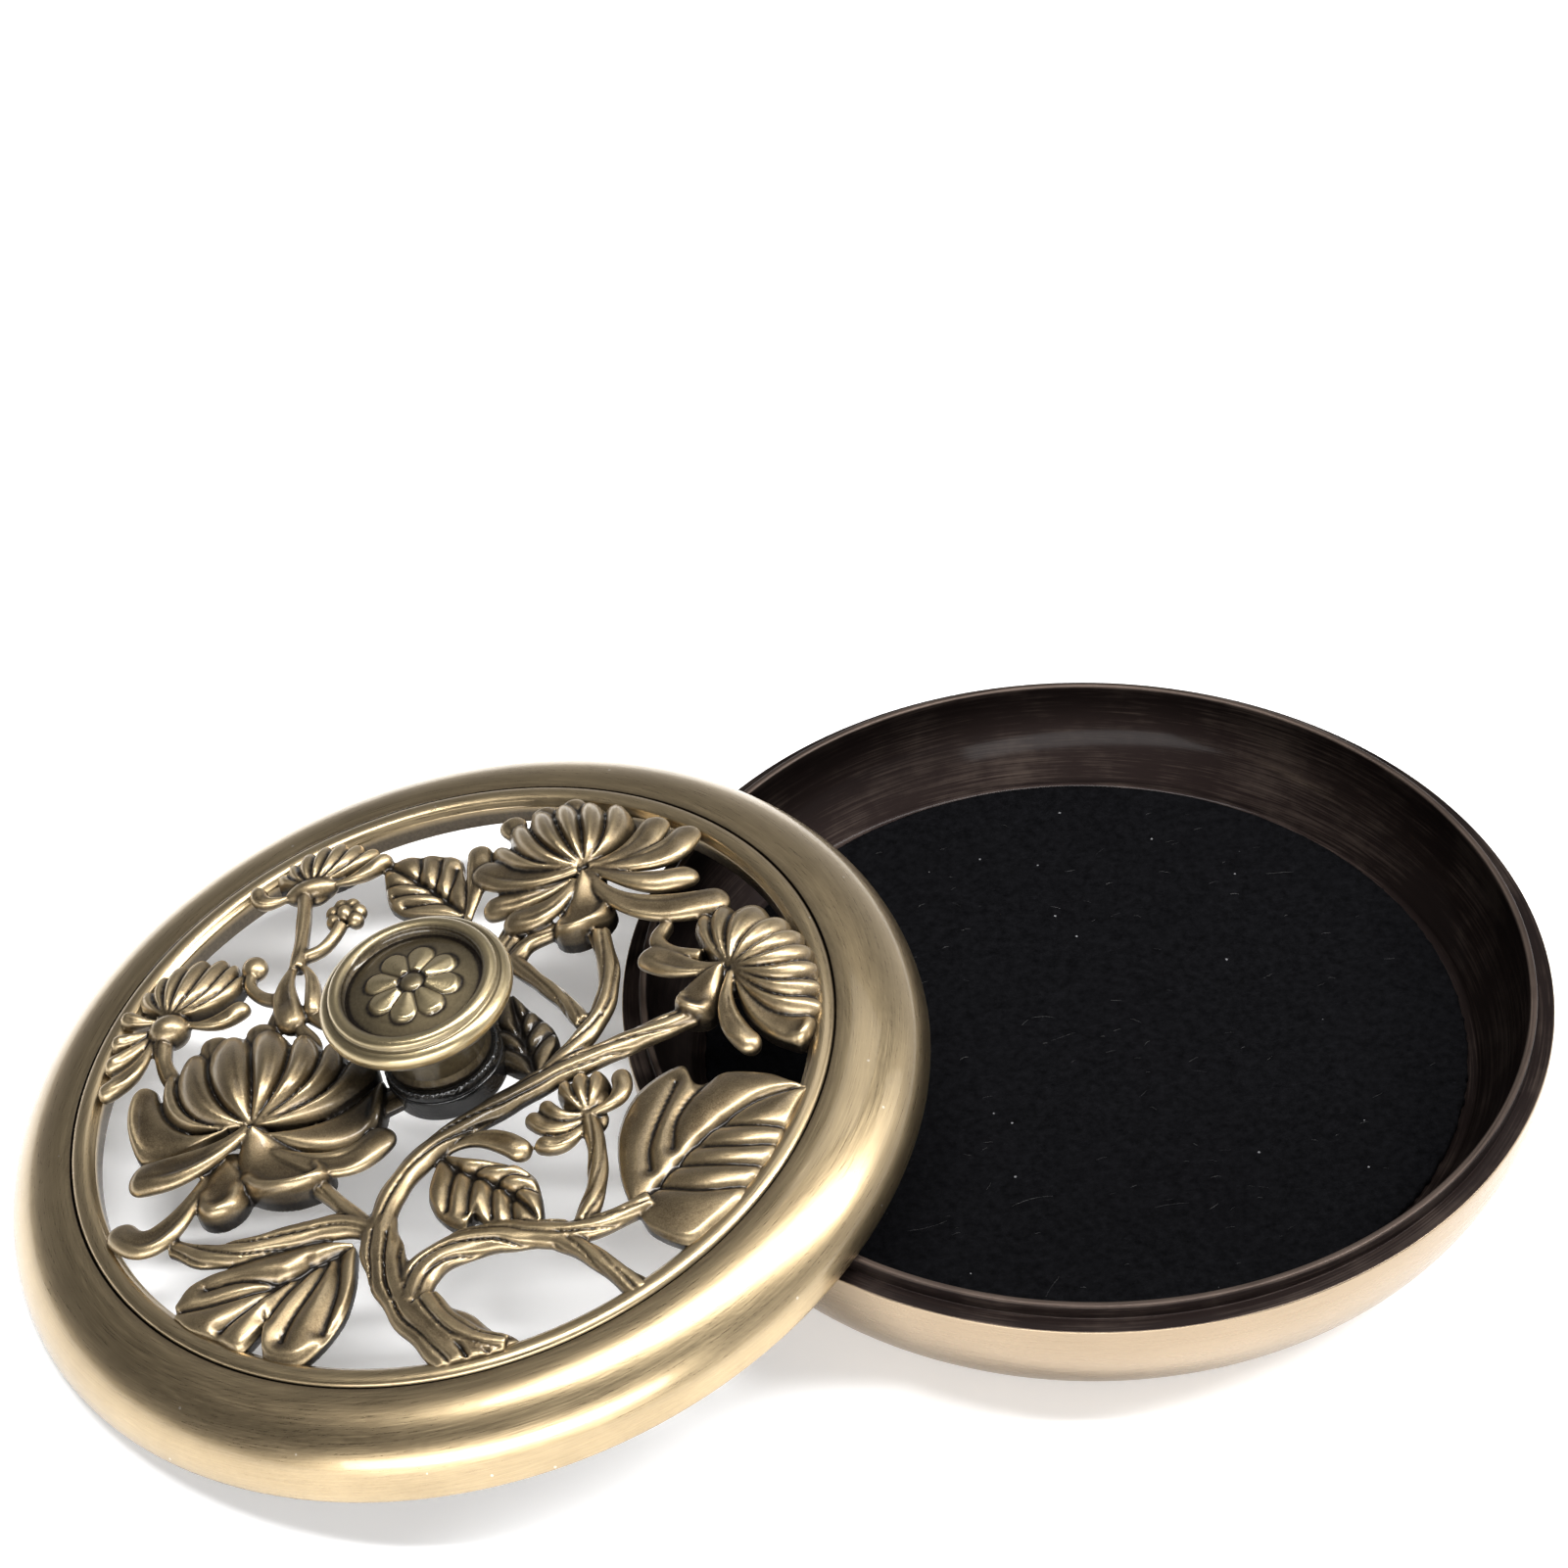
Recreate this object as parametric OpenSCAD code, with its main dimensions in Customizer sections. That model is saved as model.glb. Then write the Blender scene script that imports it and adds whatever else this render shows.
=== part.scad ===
// Round cast-metal burner for coil incense: a shallow tray with a fibre mat,
// and an openwork lid that is lifted off and leans on the tray's rim.
// Millimetres, +Z up, origin at the middle of the tray's foot on the table.

/* [Tray] */
// Outside diameter of the tray at its ledge
tray_d = 119.2; // [105:0.2:140]
// Height of the ledge that the lid's skirt sits on
ledge_h = 18; // [15:0.5:26]
// Width of that ledge
ledge_w = 2.3; // [1.6:0.1:3.5]
// Height of the raised spigot inside the ledge
spigot_h = 2; // [1:0.1:3.5]
// Thickness of the spigot
spigot_t = 1; // [0.8:0.1:2]
// How far the outside curves in from the ledge to the foot
bowl_run = 12.4; // [8:0.2:20]
// Width of the flat foot ring
foot_w = 3.6; // [2:0.2:8]
// Height of the hollow under the floor
recess_h = 4.4; // [1:0.2:6]
// Thickness of the floor
floor_t = 2.3; // [1.5:0.1:4]
// How far the inside wall curves in from the mouth to the flat floor
wall_run = 5.8; // [3:0.1:12]

/* [Mat] */
// Gap between the fibre mat and the floor's edge
mat_gap = 1; // [0.3:0.1:15]
// Thickness of the fibre mat
mat_t = 1.5; // [0.8:0.1:3]

/* [Lid rim] */
// How far the lid's widest line stands out past the tray's ledge
rim_over = 0.4; // [0:0.1:2]
// Height of the rim's crown above the skirt's lower edge
crown_h = 9.3; // [8:0.1:14]
// How far the rim curves in from its widest to its crown
rim_run = 9; // [6.5:0.1:12]
// Wall thickness of the hollow rim
rim_t = 2.2; // [1.6:0.1:3]
// Gap between the skirt and the tray's spigot
skirt_gap = 0.25; // [0.15:0.05:0.6]
// Width of the flat land between the rim's curve and its bore
land_w = 1.1; // [0.8:0.1:4]
// Width of the shelf that carries the openwork
shelf_w = 1.9; // [1:0.1:3]
// Thickness of that shelf
shelf_t = 1.4; // [1:0.1:2]

/* [Openwork] */
// Gap around the openwork's bead ring
insert_gap = 0.2; // [0.1:0.05:0.5]
// Width of the bead ring
bead_w = 3.1; // [2.4:0.1:5]
// Height of the bead ring
bead_h = 3.8; // [3:0.1:4.6]
// How far the bead stands above the rim's crown
bead_up = 0.6; // [0:0.1:1.2]
// Diameter of the boss under the knob
boss_d = 15.4; // [14:0.2:18]
// Top of the boss above the rim's crown
boss_z = 2.4; // [1.5:0.1:4]
// Thickness of the boss
boss_t = 3.4; // [2:0.1:5]

/* [Knob] */
// Diameter of the knob's lip
knob_d = 24.8; // [20:0.2:32]
// Height of the knob from the collar to its raised ring
knob_h = 13.2; // [11:0.2:18]
// How far the knob's stem stands in from the collar's edge
stem_step = 0.9; // [0.2:0.1:2]
// How far the dark collar stands in from the boss's edge
collar_step = 0.1; // [0:0.1:1.5]
// Thickness of that collar
collar_t = 1.4; // [0.8:0.1:2.5]

/* [Screw] */
// Diameter of the screw that holds the knob
screw_d = 4; // [3:0.5:5]
// How far the screw reaches into the knob
screw_reach = 8; // [5:0.5:9]
// How far the screw's pan head stands out around its shank
head_over = 2; // [1.5:0.1:3]
// Height of the screw's pan head
head_h = 2.4; // [1.6:0.1:3]
// How far the washer stands out around the screw's head
washer_over = 1.5; // [0.5:0.1:2]
// Thickness of the washer
washer_t = 0.8; // [0.5:0.1:1.5]
// Gap around the screw in the pieces that it passes through
screw_gap = 0.25; // [0.15:0.05:0.5]

/* [Leaning lid] */
// How far the lid's centre lies outside the tray's ledge, as it leans
lean_out = 20.9; // [16:0.1:30]
// Gap left where the skirt rests on the spigot
rest_gap = 0.25; // [0.1:0.05:0.6]

/* [Hidden] */
eps = 0.01;
turn = 96;                                       // faces round a full turn
brass = "#a08a5a";
dark_brass = "#4a4136";

// Tray and spigot
tray_r = tray_d/2;
spigot_r = tray_r - ledge_w;
mouth_r = spigot_r - spigot_t;
rim_top = ledge_h + spigot_h;
floor_z = recess_h + floor_t;
floor_r = mouth_r - wall_run;
foot_r = tray_r - bowl_run;
mat_r = floor_r - mat_gap;

// Lid rim, in the lid's own frame: skirt's lower edge at z = 0
lid_r = tray_r + rim_over;
skirt_r = tray_r;                                // the skirt's lower edge lines up with the tray
skirt_in = spigot_r + skirt_gap;
belly_z = 0.5;                                   // height of the lid's widest line
curve_r = lid_r - rim_run;                       // where the rim's curve reaches its crown
bore_r = curve_r - land_w;
bead_top = crown_h + bead_up;
shelf_z = bead_top - bead_h;
shelf_r = bore_r - shelf_w;
ring_r = bore_r - insert_gap;
ring_in = ring_r - bead_w;

// Knob stack, above the rim's crown
collar_z = crown_h + boss_z;
knob_z = collar_z + collar_t;
knob_r = knob_d/2;
collar_r = boss_d/2 - collar_step;
stem_r = collar_r - stem_step;
head_r = screw_d/2 + head_over;
washer_r = head_r + washer_over;
boss_under = collar_z - boss_t;
head_z = boss_under - washer_t - head_h;

// Lean: the skirt's left edge stands on the table and the skirt rests on the spigot
// where the skirt's inside crosses the spigot's outside.
lean_reach = tray_r + lean_out;
cross_x = -(lean_reach^2 + spigot_r^2 - skirt_in^2)/(2*lean_reach);
function lean_angle(guess, rounds) = rounds == 0 ? guess :
    lean_angle(asin((rim_top + rest_gap)/(skirt_r + (lean_reach + cross_x)/cos(guess))), rounds - 1);
lean = lean_angle(10, 8);

// A quarter of an ellipse round a centre, from angle a to angle b
function arc_pts(cx, cz, rx, rz, a, b, n) =
    [for (i = [0:n]) let (t = a + (b - a)*i/n) [cx + rx*cos(t), cz + rz*sin(t)]];

module lid_place() {
    translate([-lean_reach, 0, skirt_r*sin(lean)]) rotate([0, -lean, 0]) children();
}

// Tray: one casting, curved outside, with a foot ring, a ledge and the raised spigot
module tray() {
    wall = mouth_r - floor_r;
    color(brass) rotate_extrude($fn = turn) polygon(concat(
        [[foot_r - foot_w, 0]],
        arc_pts(foot_r, ledge_h, bowl_run, ledge_h, -90, 0, 12),
        [[spigot_r, ledge_h], [spigot_r, rim_top - 0.3], [spigot_r - 0.3, rim_top],
         [mouth_r + 0.3, rim_top], [mouth_r, rim_top - 0.3]],
        [for (i = [1:9]) let (t = i/9)
            [floor_r + wall*cos(90*t^1.2), rim_top - 0.6 - (rim_top - 0.6 - floor_z)*t]],
        [[0, floor_z], [0, recess_h], [foot_r - foot_w - recess_h*0.4, recess_h]]));
}

// Mat: a loose round of black mineral-fibre felt that lies on the tray's floor
module fire_mat() {
    color("#161414") translate([0, 0, floor_z]) cylinder(h = mat_t, r = mat_r, $fn = turn);
}

// Lid rim: a hollow rounded shell with a skirt over the spigot and a shelf for the openwork
module lid_rim() {
    inner_x = rim_run - rim_t;
    inner_z = crown_h - belly_z - rim_t;
    color(brass) lid_place() rotate_extrude($fn = turn) polygon(concat(
        [[skirt_in, 0], [skirt_r, 0]],
        arc_pts(curve_r, belly_z, rim_run, crown_h - belly_z, 0, 90, 14),
        [[bore_r + 0.5, crown_h], [bore_r + 0.15, crown_h - 0.12], [bore_r, crown_h - 0.5],
         [bore_r, shelf_z], [shelf_r, shelf_z], [shelf_r, shelf_z - shelf_t],
         [bore_r + 0.6, shelf_z - shelf_t]],
        [for (p = arc_pts(curve_r, belly_z, inner_x, inner_z, 84, 22, 7))
            [min(p[0], skirt_in), p[1]]],
        [[skirt_in, spigot_h + 0.5]]));
}

// A point on the smooth curve that leaves a, passes m half way and ends at c
function through(a, m, c, t) = let (b = 2*m - (a + c)/2) (1-t)^2*a + 2*t*(1-t)*b + t^2*c;
function way(a, m, c, t) = let (d = through(a, m, c, t + 0.02) - through(a, m, c, t - 0.02))
    [d[0], d[1]]/norm([d[0], d[1]]);

// A strand: an oval section carried along a curve. Its half widths are given at
// the start, the middle and the end, and round ends close it.
module strand(a, m, c, w, up, down, rings = 6, sides = 6) {
    pts = [for (i = [0:rings]) let (
            t = i/rings,
            p = through(a, m, c, t),
            d = way(a, m, c, t),
            s = through([w[0]], [w[1]], [w[2]], t)[0]/w[1],
            half = w[1]*s)
        for (k = [0:sides-1]) let (q = 360*k/sides + 180/sides)
            p + [-d[1]*half*cos(q), d[0]*half*cos(q), (sin(q) > 0 ? up : down)*min(1, s + 0.2)*sin(q)]];
    faces = concat(
        [[for (k = [0:sides-1]) k]],
        [for (i = [0:rings-1]) for (k = [0:sides-1]) let (
            v = i*sides + k, n = i*sides + (k + 1)%sides)
            each [[v, v + sides, n], [n, v + sides, n + sides]]],
        [[for (k = [sides-1:-1:0]) rings*sides + k]]);
    polyhedron(pts, faces, convexity = 4);
}

// A petal: narrow at its root, widest two thirds out, with a round tip
module petal(root, m, tip, w, up = 1.2, down = 1.1, rings = 5) {
    sides = 5;
    pts = [for (i = [0:rings]) let (
            t = sin(90*i/rings),
            p = through(root, m, tip, t),
            d = way(root, m, tip, t),
            s = (0.3 + 0.7*sin(min(90, 140*t)))*sqrt(1.06 - t^6))
        for (k = [0:sides-1]) let (q = 360*k/sides + 90)
            p + [-d[1]*w*s*cos(q)/cos(18), d[0]*w*s*cos(q)/cos(18),
                 (sin(q) > 0 ? up : down)*min(1, s + 0.15)*sin(q)]];
    faces = concat(
        [[for (k = [0:sides-1]) k]],
        [for (i = [0:rings-1]) for (k = [0:sides-1]) let (
            v = i*sides + k, n = i*sides + (k + 1)%sides)
            each [[v, v + sides, n], [n, v + sides, n + sides]]],
        [[for (k = [sides-1:-1:0]) rings*sides + k]]);
    polyhedron(pts, faces, convexity = 4);
}

// A closed solid under a grid of points: rows from root to tip, each from left to right
module slab(grid, low = -1.1) {
    rows = len(grid);
    cols = len(grid[0]);
    top = [for (row = grid) each row];
    loop = concat([for (i = [0:rows-1]) i*cols], [for (k = [1:cols-1]) (rows - 1)*cols + k],
        [for (i = [rows-2:-1:0]) i*cols + cols - 1], [for (k = [cols-2:-1:1]) k]);
    count = len(loop);
    base = len(top);
    faces = concat(
        [for (i = [0:rows-2]) for (k = [0:cols-2]) let (v = i*cols + k)
            each [[v, v + cols, v + 1], [v + 1, v + cols, v + cols + 1]]],
        [for (j = [0:count-1]) let (n = (j + 1)%count)
            each [[loop[j], base + j, base + n], [loop[j], base + n, loop[n]]]],
        [[for (j = [count-1:-1:0]) base + j]]);
    polyhedron(concat(top, [for (j = loop) [top[j][0], top[j][1], low]]), faces, convexity = 6);
}

// Height along a petal that rises from the pit to its peak and rolls over to its tip
function roll(pit_z, peak, t) = t < 0.5 ? pit_z + (peak - pit_z)*sin(180*t) :
    0.5 + (peak - 0.5)*sqrt(max(0, 1 - (2*t - 1)^2.4));

// Head of a flower: petals side by side, domed, with grooves between. Each edge is
// [[x, y, peak height] half way, [x, y] at the outline], from left to right.
module fan(pit, edges, groove = 1, out = 0.3) {
    last = len(edges) - 1;
    hub = min(2.8, pit[2]*0.95);
    slab([for (t = [0.03, 0.3, 0.55, 0.78, 0.93, 1])
        [for (k = [0:2*last]) let (
                a = edges[floor(k/2)], b = edges[ceil(k/2)], m = (a[0] + b[0])/2, c = (a[1] + b[1])/2,
                p = through([pit[0], pit[1]], [m[0], m[1]], c, t),
                d = c - [m[0], m[1]],
                q = p + (k%2)*out*norm(b[1] - a[1])*t^6*d/norm(d),
                h = roll(pit[2], m[2], t))
            [q[0], q[1], k%2 == 1 ? h + 0.25 : h - groove*sin(150*t)]]]);
    bulge([pit[0], pit[1], 0.6], [hub, hub, pit[2] - 0.5]);
}

// A broad lobe with a hollow face and a thick rolled lip. Each side is [half way, end].
module lobe(pit, left, right, out = 2.5, dish = 1.6, lip = 3) {
    slab([for (t = [0.05, 0.35, 0.6, 0.78, 0.9, 1])
        [for (v = [0, 0.22, 0.5, 0.78, 1]) let (
                a = through([pit[0], pit[1]], left[0], left[1], t),
                b = through([pit[0], pit[1]], right[0], right[1], t),
                d = left[1] + right[1] - left[0] - right[0],
                p = a*(1 - v) + b*v + out*t^4*sin(180*v)*d/norm(d),
                face = pit[2] + (dish - pit[2])*min(1, t/0.6),
                h = t == 1 ? 0.3 : face + (lip - dish)*max(0, 1 - abs(t - 0.84)/0.2))
            [p[0], p[1], h*(0.6 + 0.4*sqrt(sin(180*v)))]]]);
}

// A leaf: each row gives the midrib, the left edge and the right edge as [x, y],
// from the stalk to the tip. The midrib is sunk and every other row is folded down.
module leaf(rows, z = 0.8, camber = 0.9, fold = 0.35) {
    last = len(rows) - 1;
    pts = [for (i = [0:last]) let (
            r = rows[i], t = i/last, f = sin(180*t)^0.6, h = z*(0.4 + 0.6*f) - (i%2)*fold*f)
        each [[r[2][0], r[2][1], h - 0.2*f], [(r[0][0] + r[2][0])/2, (r[0][1] + r[2][1])/2, h + camber*f],
              [r[0][0], r[0][1], h + 0.25*f], [(r[0][0] + r[1][0])/2, (r[0][1] + r[1][1])/2, h + camber*f],
              [r[1][0], r[1][1], h - 0.2*f], [r[1][0], r[1][1], -1.3], [r[2][0], r[2][1], -1.3]]];
    faces = concat(
        [[for (k = [6:-1:0]) k]],
        [for (i = [0:last-1]) for (k = [0:6]) let (v = i*7 + k, n = i*7 + (k + 1)%7)
            each [[v, n, v + 7], [n, n + 7, v + 7]]],
        [[for (k = [0:6]) last*7 + k]]);
    polyhedron(pts, faces, convexity = 6);
}

// A small swelling that joins petals and stalks
module bulge(p, r, n = 8) {
    hull() translate(p) scale(r) sphere(1, $fn = n);
}

// Large flower at the left
module flower_left() {
    pit = [-25.4, -1.8, 3];
    fan(pit, [
        [[-34.9, 2.6, 2.2], [-36.2, 11.4]], [[-33, 2.8, 3.8], [-33.9, 13.2]], [[-29.2, 4.4, 4.9], [-29.4, 14.4]],
        [[-24.1, 5, 5.3], [-23.9, 14.6]], [[-20.2, 3.8, 5.1], [-18.9, 12.3]], [[-17.2, 1.6, 4.7], [-15.2, 9.7]],
        [[-15.5, -0.4, 3.9], [-12.2, 6.8]], [[-15.2, -3, 2.8], [-8.6, 1.5]]]);
    lobe([-24.2, -3.4, 2.8], [[-15.2, -3.2], [-8.6, 1]], [[-17.4, -8.2], [-10.2, -7.2]], 1.2, 1.3, 2);
    lobe([-25, -2.8, 3], [[-21.4, -7.6], [-17, -11.4]], [[-27.4, -7], [-27.9, -12.4]], 4.4, 1.8, 3.2);
    lobe([-29.4, -4.6, 2], [[-28.6, -8.6], [-27.6, -12.6]], [[-33, -8], [-34.2, -11.8]], 2.6, 1, 2.8);
    lobe([-28.2, -1.2, 3.2], [[-34.6, -1.6], [-40.4, 0]], [[-34.4, 2], [-37.2, 11.6]], 3.4, 1.2, 2.4);
    petal([-25.8, -2.4, 3], [-34, -5, 2.4], [-42, -3, 0.8], 2.6, 1.4);
    petal([-24.5, -5, 1.8], [-15.6, -11.4, 1.4], [-8.8, -7.8, 0.9], 2.2);
    petal([-31.5, -5.6, 1.2], [-39.4, -14.6, 1.5], [-44.6, -9.8, 0.4], 2.1);
    petal([-29, 10, 1], [-28.9, 13, 1.2], [-28.3, 17.2, 0.4], 2.1, rings = 3);
    petal([-23, 10, 1], [-22.8, 13, 1.2], [-22.4, 17, 0.4], 2, rings = 3);
}

// Flower at the upper right, with long drooping petals
module flower_top() {
    pit = [22.9, 25.2, 3.2];
    fan(pit, [
        [[15.7, 27.2, 3.2], [10.9, 32.9]], [[17, 27.6, 4.4], [13.8, 35.5]], [[18.7, 29.4, 5], [17, 38]],
        [[21.3, 30.4, 5.1], [20.5, 38.4]], [[23.7, 30, 4.9], [23.9, 37.7]], [[26.3, 29, 4.3], [27.2, 36.6]],
        [[28.3, 28, 3], [30.6, 33.8]]]);
    lobe([22.7, 24, 3], [[24.4, 19.9], [24.9, 16.4]], [[19.8, 20.4], [17.8, 17]], 2.7, 1.8, 3.1);
    petal([22, 25, 3], [14.6, 26.9, 2.3], [9, 32.6, 0.8], 2.3, 1.3);
    petal([23.6, 25.1, 2.9], [29.8, 26.2, 2.2], [33.6, 32, 0.6], 1.7);
    petal([24, 24.7, 2.7], [33, 23.8, 2], [37, 28.8, 0.5], 1.8);
    petal([24, 24.2, 2.7], [31, 19.4, 2], [36.6, 20.2, 0.7], 1.3);
    petal([23, 24.3, 2.8], [28.6, 16, 1.9], [39.9, 13.6, 0.7], 1.9);
    petal([21.4, 23.3, 2.8], [16.6, 20, 2.1], [11, 21.2, 1], 1.6);
    petal([20.8, 24.4, 2], [15, 24.2, 1.2], [8.6, 25.2, 0.3], 1.5, rings = 3);
    for (x = [14.8, 19.1, 23]) {
        petal([x + 1, 34, 0.8], [x + 0.4, 36.8, 1.2], [x, 40.2 - 0.012*(x - 18)^2, 0.4], 1.9, rings = 3);
    }
}

// Flower at the right, a fan of narrow petals that runs up to the bead ring
module flower_right() {
    pit = [37.6, -0.2, 2.8];
    fan(pit, [
        [[35.2, 4.4, 2.2], [34.3, 10]], [[36.4, 5.4, 3.2], [37.2, 11.4]], [[38.3, 5.4, 3.8], [40.4, 10.6]],
        [[40.6, 3.4, 4.2], [44.4, 6.9]], [[42, 1.2, 4.2], [46.2, 3.8]], [[42.6, -0.9, 4.2], [47.2, 0.8]],
        [[42.8, -3.1, 4], [47.6, -2.2]], [[42.3, -5.3, 3.6], [47.4, -5.2]], [[41.8, -6.9, 3], [46.9, -8]],
        [[40.6, -8.2, 2.2], [46, -11]]], 0.8);
    lobe([37.9, -2, 2.6], [[41, -8], [45.8, -11]], [[38.5, -9], [43, -14.8]], 1.2, 1, 1.9);
    lobe([37, 0, 2.6], [[35.6, -3], [34, -5.8]], [[33.2, 0.6], [29.9, -1.8]], 2, 1.8, 3);
    petal([37.6, -1.1, 2.5], [35.9, -7.6, 1.6], [38.3, -13.4, 0.4], 1.6);
    petal([36.9, 0.6, 2.4], [31.8, 2.9, 2], [27.4, 8.4, 0.8], 2.1);
    strand([34.5, 4.4, 1.4], [29.4, 8.8, 1.3], [31.4, 12.5, 0.8], [0.8, 1.15, 0.7], 0.9, 1.6, 5);
}

// Small flower at the left, seen from its side on a round calyx
module flower_side() {
    pit = [-34.2, 23, 1.8];
    bulge([-34.4, 20.9, 0.8], [2.8, 2.3, 2.4], 10);
    fan(pit, [
        [[-36.6, 25.4, 1.3], [-38, 27.8]], [[-35.8, 26.6, 1.6], [-35.7, 29.7]], [[-34.5, 26.8, 2.1], [-33.4, 31.4]],
        [[-32.8, 26.5, 2.5], [-30.6, 31.7]], [[-31, 25.5, 2.6], [-27.6, 31.1]], [[-29.3, 24.4, 2.5], [-25.2, 29.9]],
        [[-28.4, 23.2, 2.3], [-24.3, 27.6]], [[-28, 22.2, 1.9], [-24, 25.2]]], 0.6);
    petal([-31.8, 21, 1.2], [-27.8, 19.7, 1.2], [-23.8, 21.6, 0.7], 1.3, rings = 4);
    petal([-36, 23.4, 1], [-38.6, 24.6, 1], [-40.2, 26.2, 0.5], 1.2, rings = 3);
    petal([-36.6, 21.8, 1], [-39.9, 21.3, 1.1], [-42.2, 21.8, 0.6], 1.2, rings = 4);
    petal([-36.6, 21, 1], [-40.6, 18.4, 1.1], [-43.5, 18, 0.6], 1.2, rings = 4);
    petal([-36.8, 20, 1], [-39.8, 15.4, 1.1], [-44.8, 13.6, 0.5], 1.35, rings = 4);
    strand([-35.6, 19.2, 0.8], [-35.7, 15.2, 0.4], [-34.4, 10.5, 0.2], [1.3, 1.2, 1.3], 1.1, 1.1, 4);
}

// Small flower at the upper left, seen from its side, with its stalk
module flower_stalk() {
    bulge([-12.9, 38.7, 0.6], [3.7, 1.7, 1.8], 10);
    fan([-12.6, 39, 1.6], [
        [[-15.4, 40.2, 1.3], [-17.3, 41.4]], [[-15, 41, 1.6], [-15.8, 43.9]], [[-14, 41.5, 1.9], [-14, 44.7]],
        [[-12.3, 41.9, 2.2], [-11.3, 45.5]], [[-10.8, 41.6, 2.3], [-9.1, 45.7]], [[-9.2, 40.9, 2.3], [-6.9, 44.8]],
        [[-8.2, 40, 2], [-4.9, 43.3]], [[-7.4, 39.3, 1.6], [-3.1, 42]]], 0.6);
    petal([-15.8, 38.6, 1], [-19.4, 39, 1.1], [-19.8, 42.2, 0.5], 1.2, rings = 4);
    petal([-9.8, 38.6, 1], [-6, 38.3, 1.2], [-1.8, 40.5, 0.7], 1.15, rings = 4);
    strand([-13.9, 38, 0.9], [-15.1, 31.5, 0.9], [-16.6, 25, 0.9], [1.1, 1.05, 1.2], 1.2, 1.2, 5);
}

// Curled tendrils and buds between the flowers and the knob
module buds() {
    bulge([-9.1, 32.2, 0.7], [1.2, 1.4, 1.6]);
    for (a = [-50:50:200]) {
        bulge([-9.1 + 1.75*cos(a), 32.3 + 1.75*sin(a), 0.6], [1.15, 1.15, 1.2]);
    }
    strand([-16.2, 26.8, 0.8], [-13, 27.3, 0.8], [-9.8, 30.8, 0.8], [0.9, 0.9, 0.9], 1, 1, 5);
    bulge([-22.1, 27.6, 0.8], [1.8, 1.9, 1.4]);
    strand([-19.4, 20.2, 0.8], [-22.9, 23, 0.8], [-22.4, 27, 0.8], [1, 0.85, 0.8], 1, 1, 5);
    petal([-16.8, 25.8, 0.8], [-18.6, 20.4, 1.2], [-18.2, 14.2, 0.5], 1.9);
    petal([-16.2, 25.6, 0.8], [-14.9, 21.4, 1.2], [-15.9, 15.8, 0.5], 1.2);
    strand([-18.8, 20.4, 0.6], [-20.8, 16.5, 0.4], [-22, 12, 0.3], [1, 1.1, 1.2], 1, 1, 4);
    strand([-17.8, 15, 0.4], [-16.5, 11.5, 0.4], [-16.5, 8, 0.4], [1, 1.2, 1.2], 1, 1, 4);
    strand([-16, 16.4, 0.4], [-11.5, 11.8, 0.4], [-5, 5, 0.3], [1, 1.4, 1.6], 1, 1.1, 5);
}

// Trunk and branches that carry the whole sprig
module branches() {
    strand([-3.8, -47.9, -0.4], [-10.6, -37, 0.6], [-12, -22.5, 0.8], [4.6, 3.1, 2.6], 1.5, 1.5, 7);
    strand([-12.4, -24.5, 0.8], [-5, -14.2, 0.9], [9, -8.6, 0.9], [1.9, 1.7, 1.9], 1.4, 1.4, 7);
    strand([7, -9.3, 0.9], [17.5, -7, 0.9], [31, -4.8, 1], [1.9, 1.7, 1.7], 1.4, 1.4, 5);
    strand([-12, -24, 0.8], [-22, -20.6, 0.9], [-37.5, -16.2, 0.4], [1.5, 1.9, 1.3], 1.3, 1.3, 6);
    strand([-13, -23.5, 0.8], [-15.7, -19.4, 0.8], [-18.4, -14, 0.8], [1.4, 1.1, 1.2], 1.2, 1.2, 5);
    strand([-10.5, -36, 0.6], [-3.4, -30.5, 0.8], [8.5, -32.3, 0.8], [2.8, 2.3, 1.9], 1.5, 1.5, 7);
    strand([6, -31.7, 0.8], [13, -33.4, 0.8], [21, -33, 0.8], [1.8, 1.6, 1.3], 1.3, 1.4, 6);
    strand([8.5, -32.6, 0.8], [13, -38.4, 0.6], [17.6, -45.4, -0.6], [1.6, 1.35, 1.7], 1.2, 1.4, 6);
    strand([12.6, -32.4, 0.8], [15.6, -25.8, 0.8], [15.8, -16, 1], [1.4, 1.25, 1.2], 1.2, 1.3, 5);
    strand([12.5, -7, 0.9], [19.2, -0.4, 0.8], [22.6, 13.8, 0.9], [1.5, 1.45, 1.4], 1.3, 1.3, 6);
    strand([18, 0, 0.7], [15.4, 6.4, 0.6], [10.8, 14.6, 0.4], [1.2, 1.15, 1.3], 1.2, 1.2, 6);
    strand([10.8, 14.2, 0.4], [13, 16.6, 0.5], [18.4, 17.8, 0.6], [1.3, 1.2, 1.2], 1.1, 1.1, 5);
    strand([5, 3.5, 0.4], [10.4, 18.4, 0.3], [17.5, 24.8, 0.6], [2.2, 1.7, 1.3], 1.1, 1.2, 5);
    strand([-6, -2, 0.3], [-9, -3.4, 0.5], [-13, -4, 0.8], [2.2, 1.8, 1.6], 1.1, 1.2, 4);
}

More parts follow.
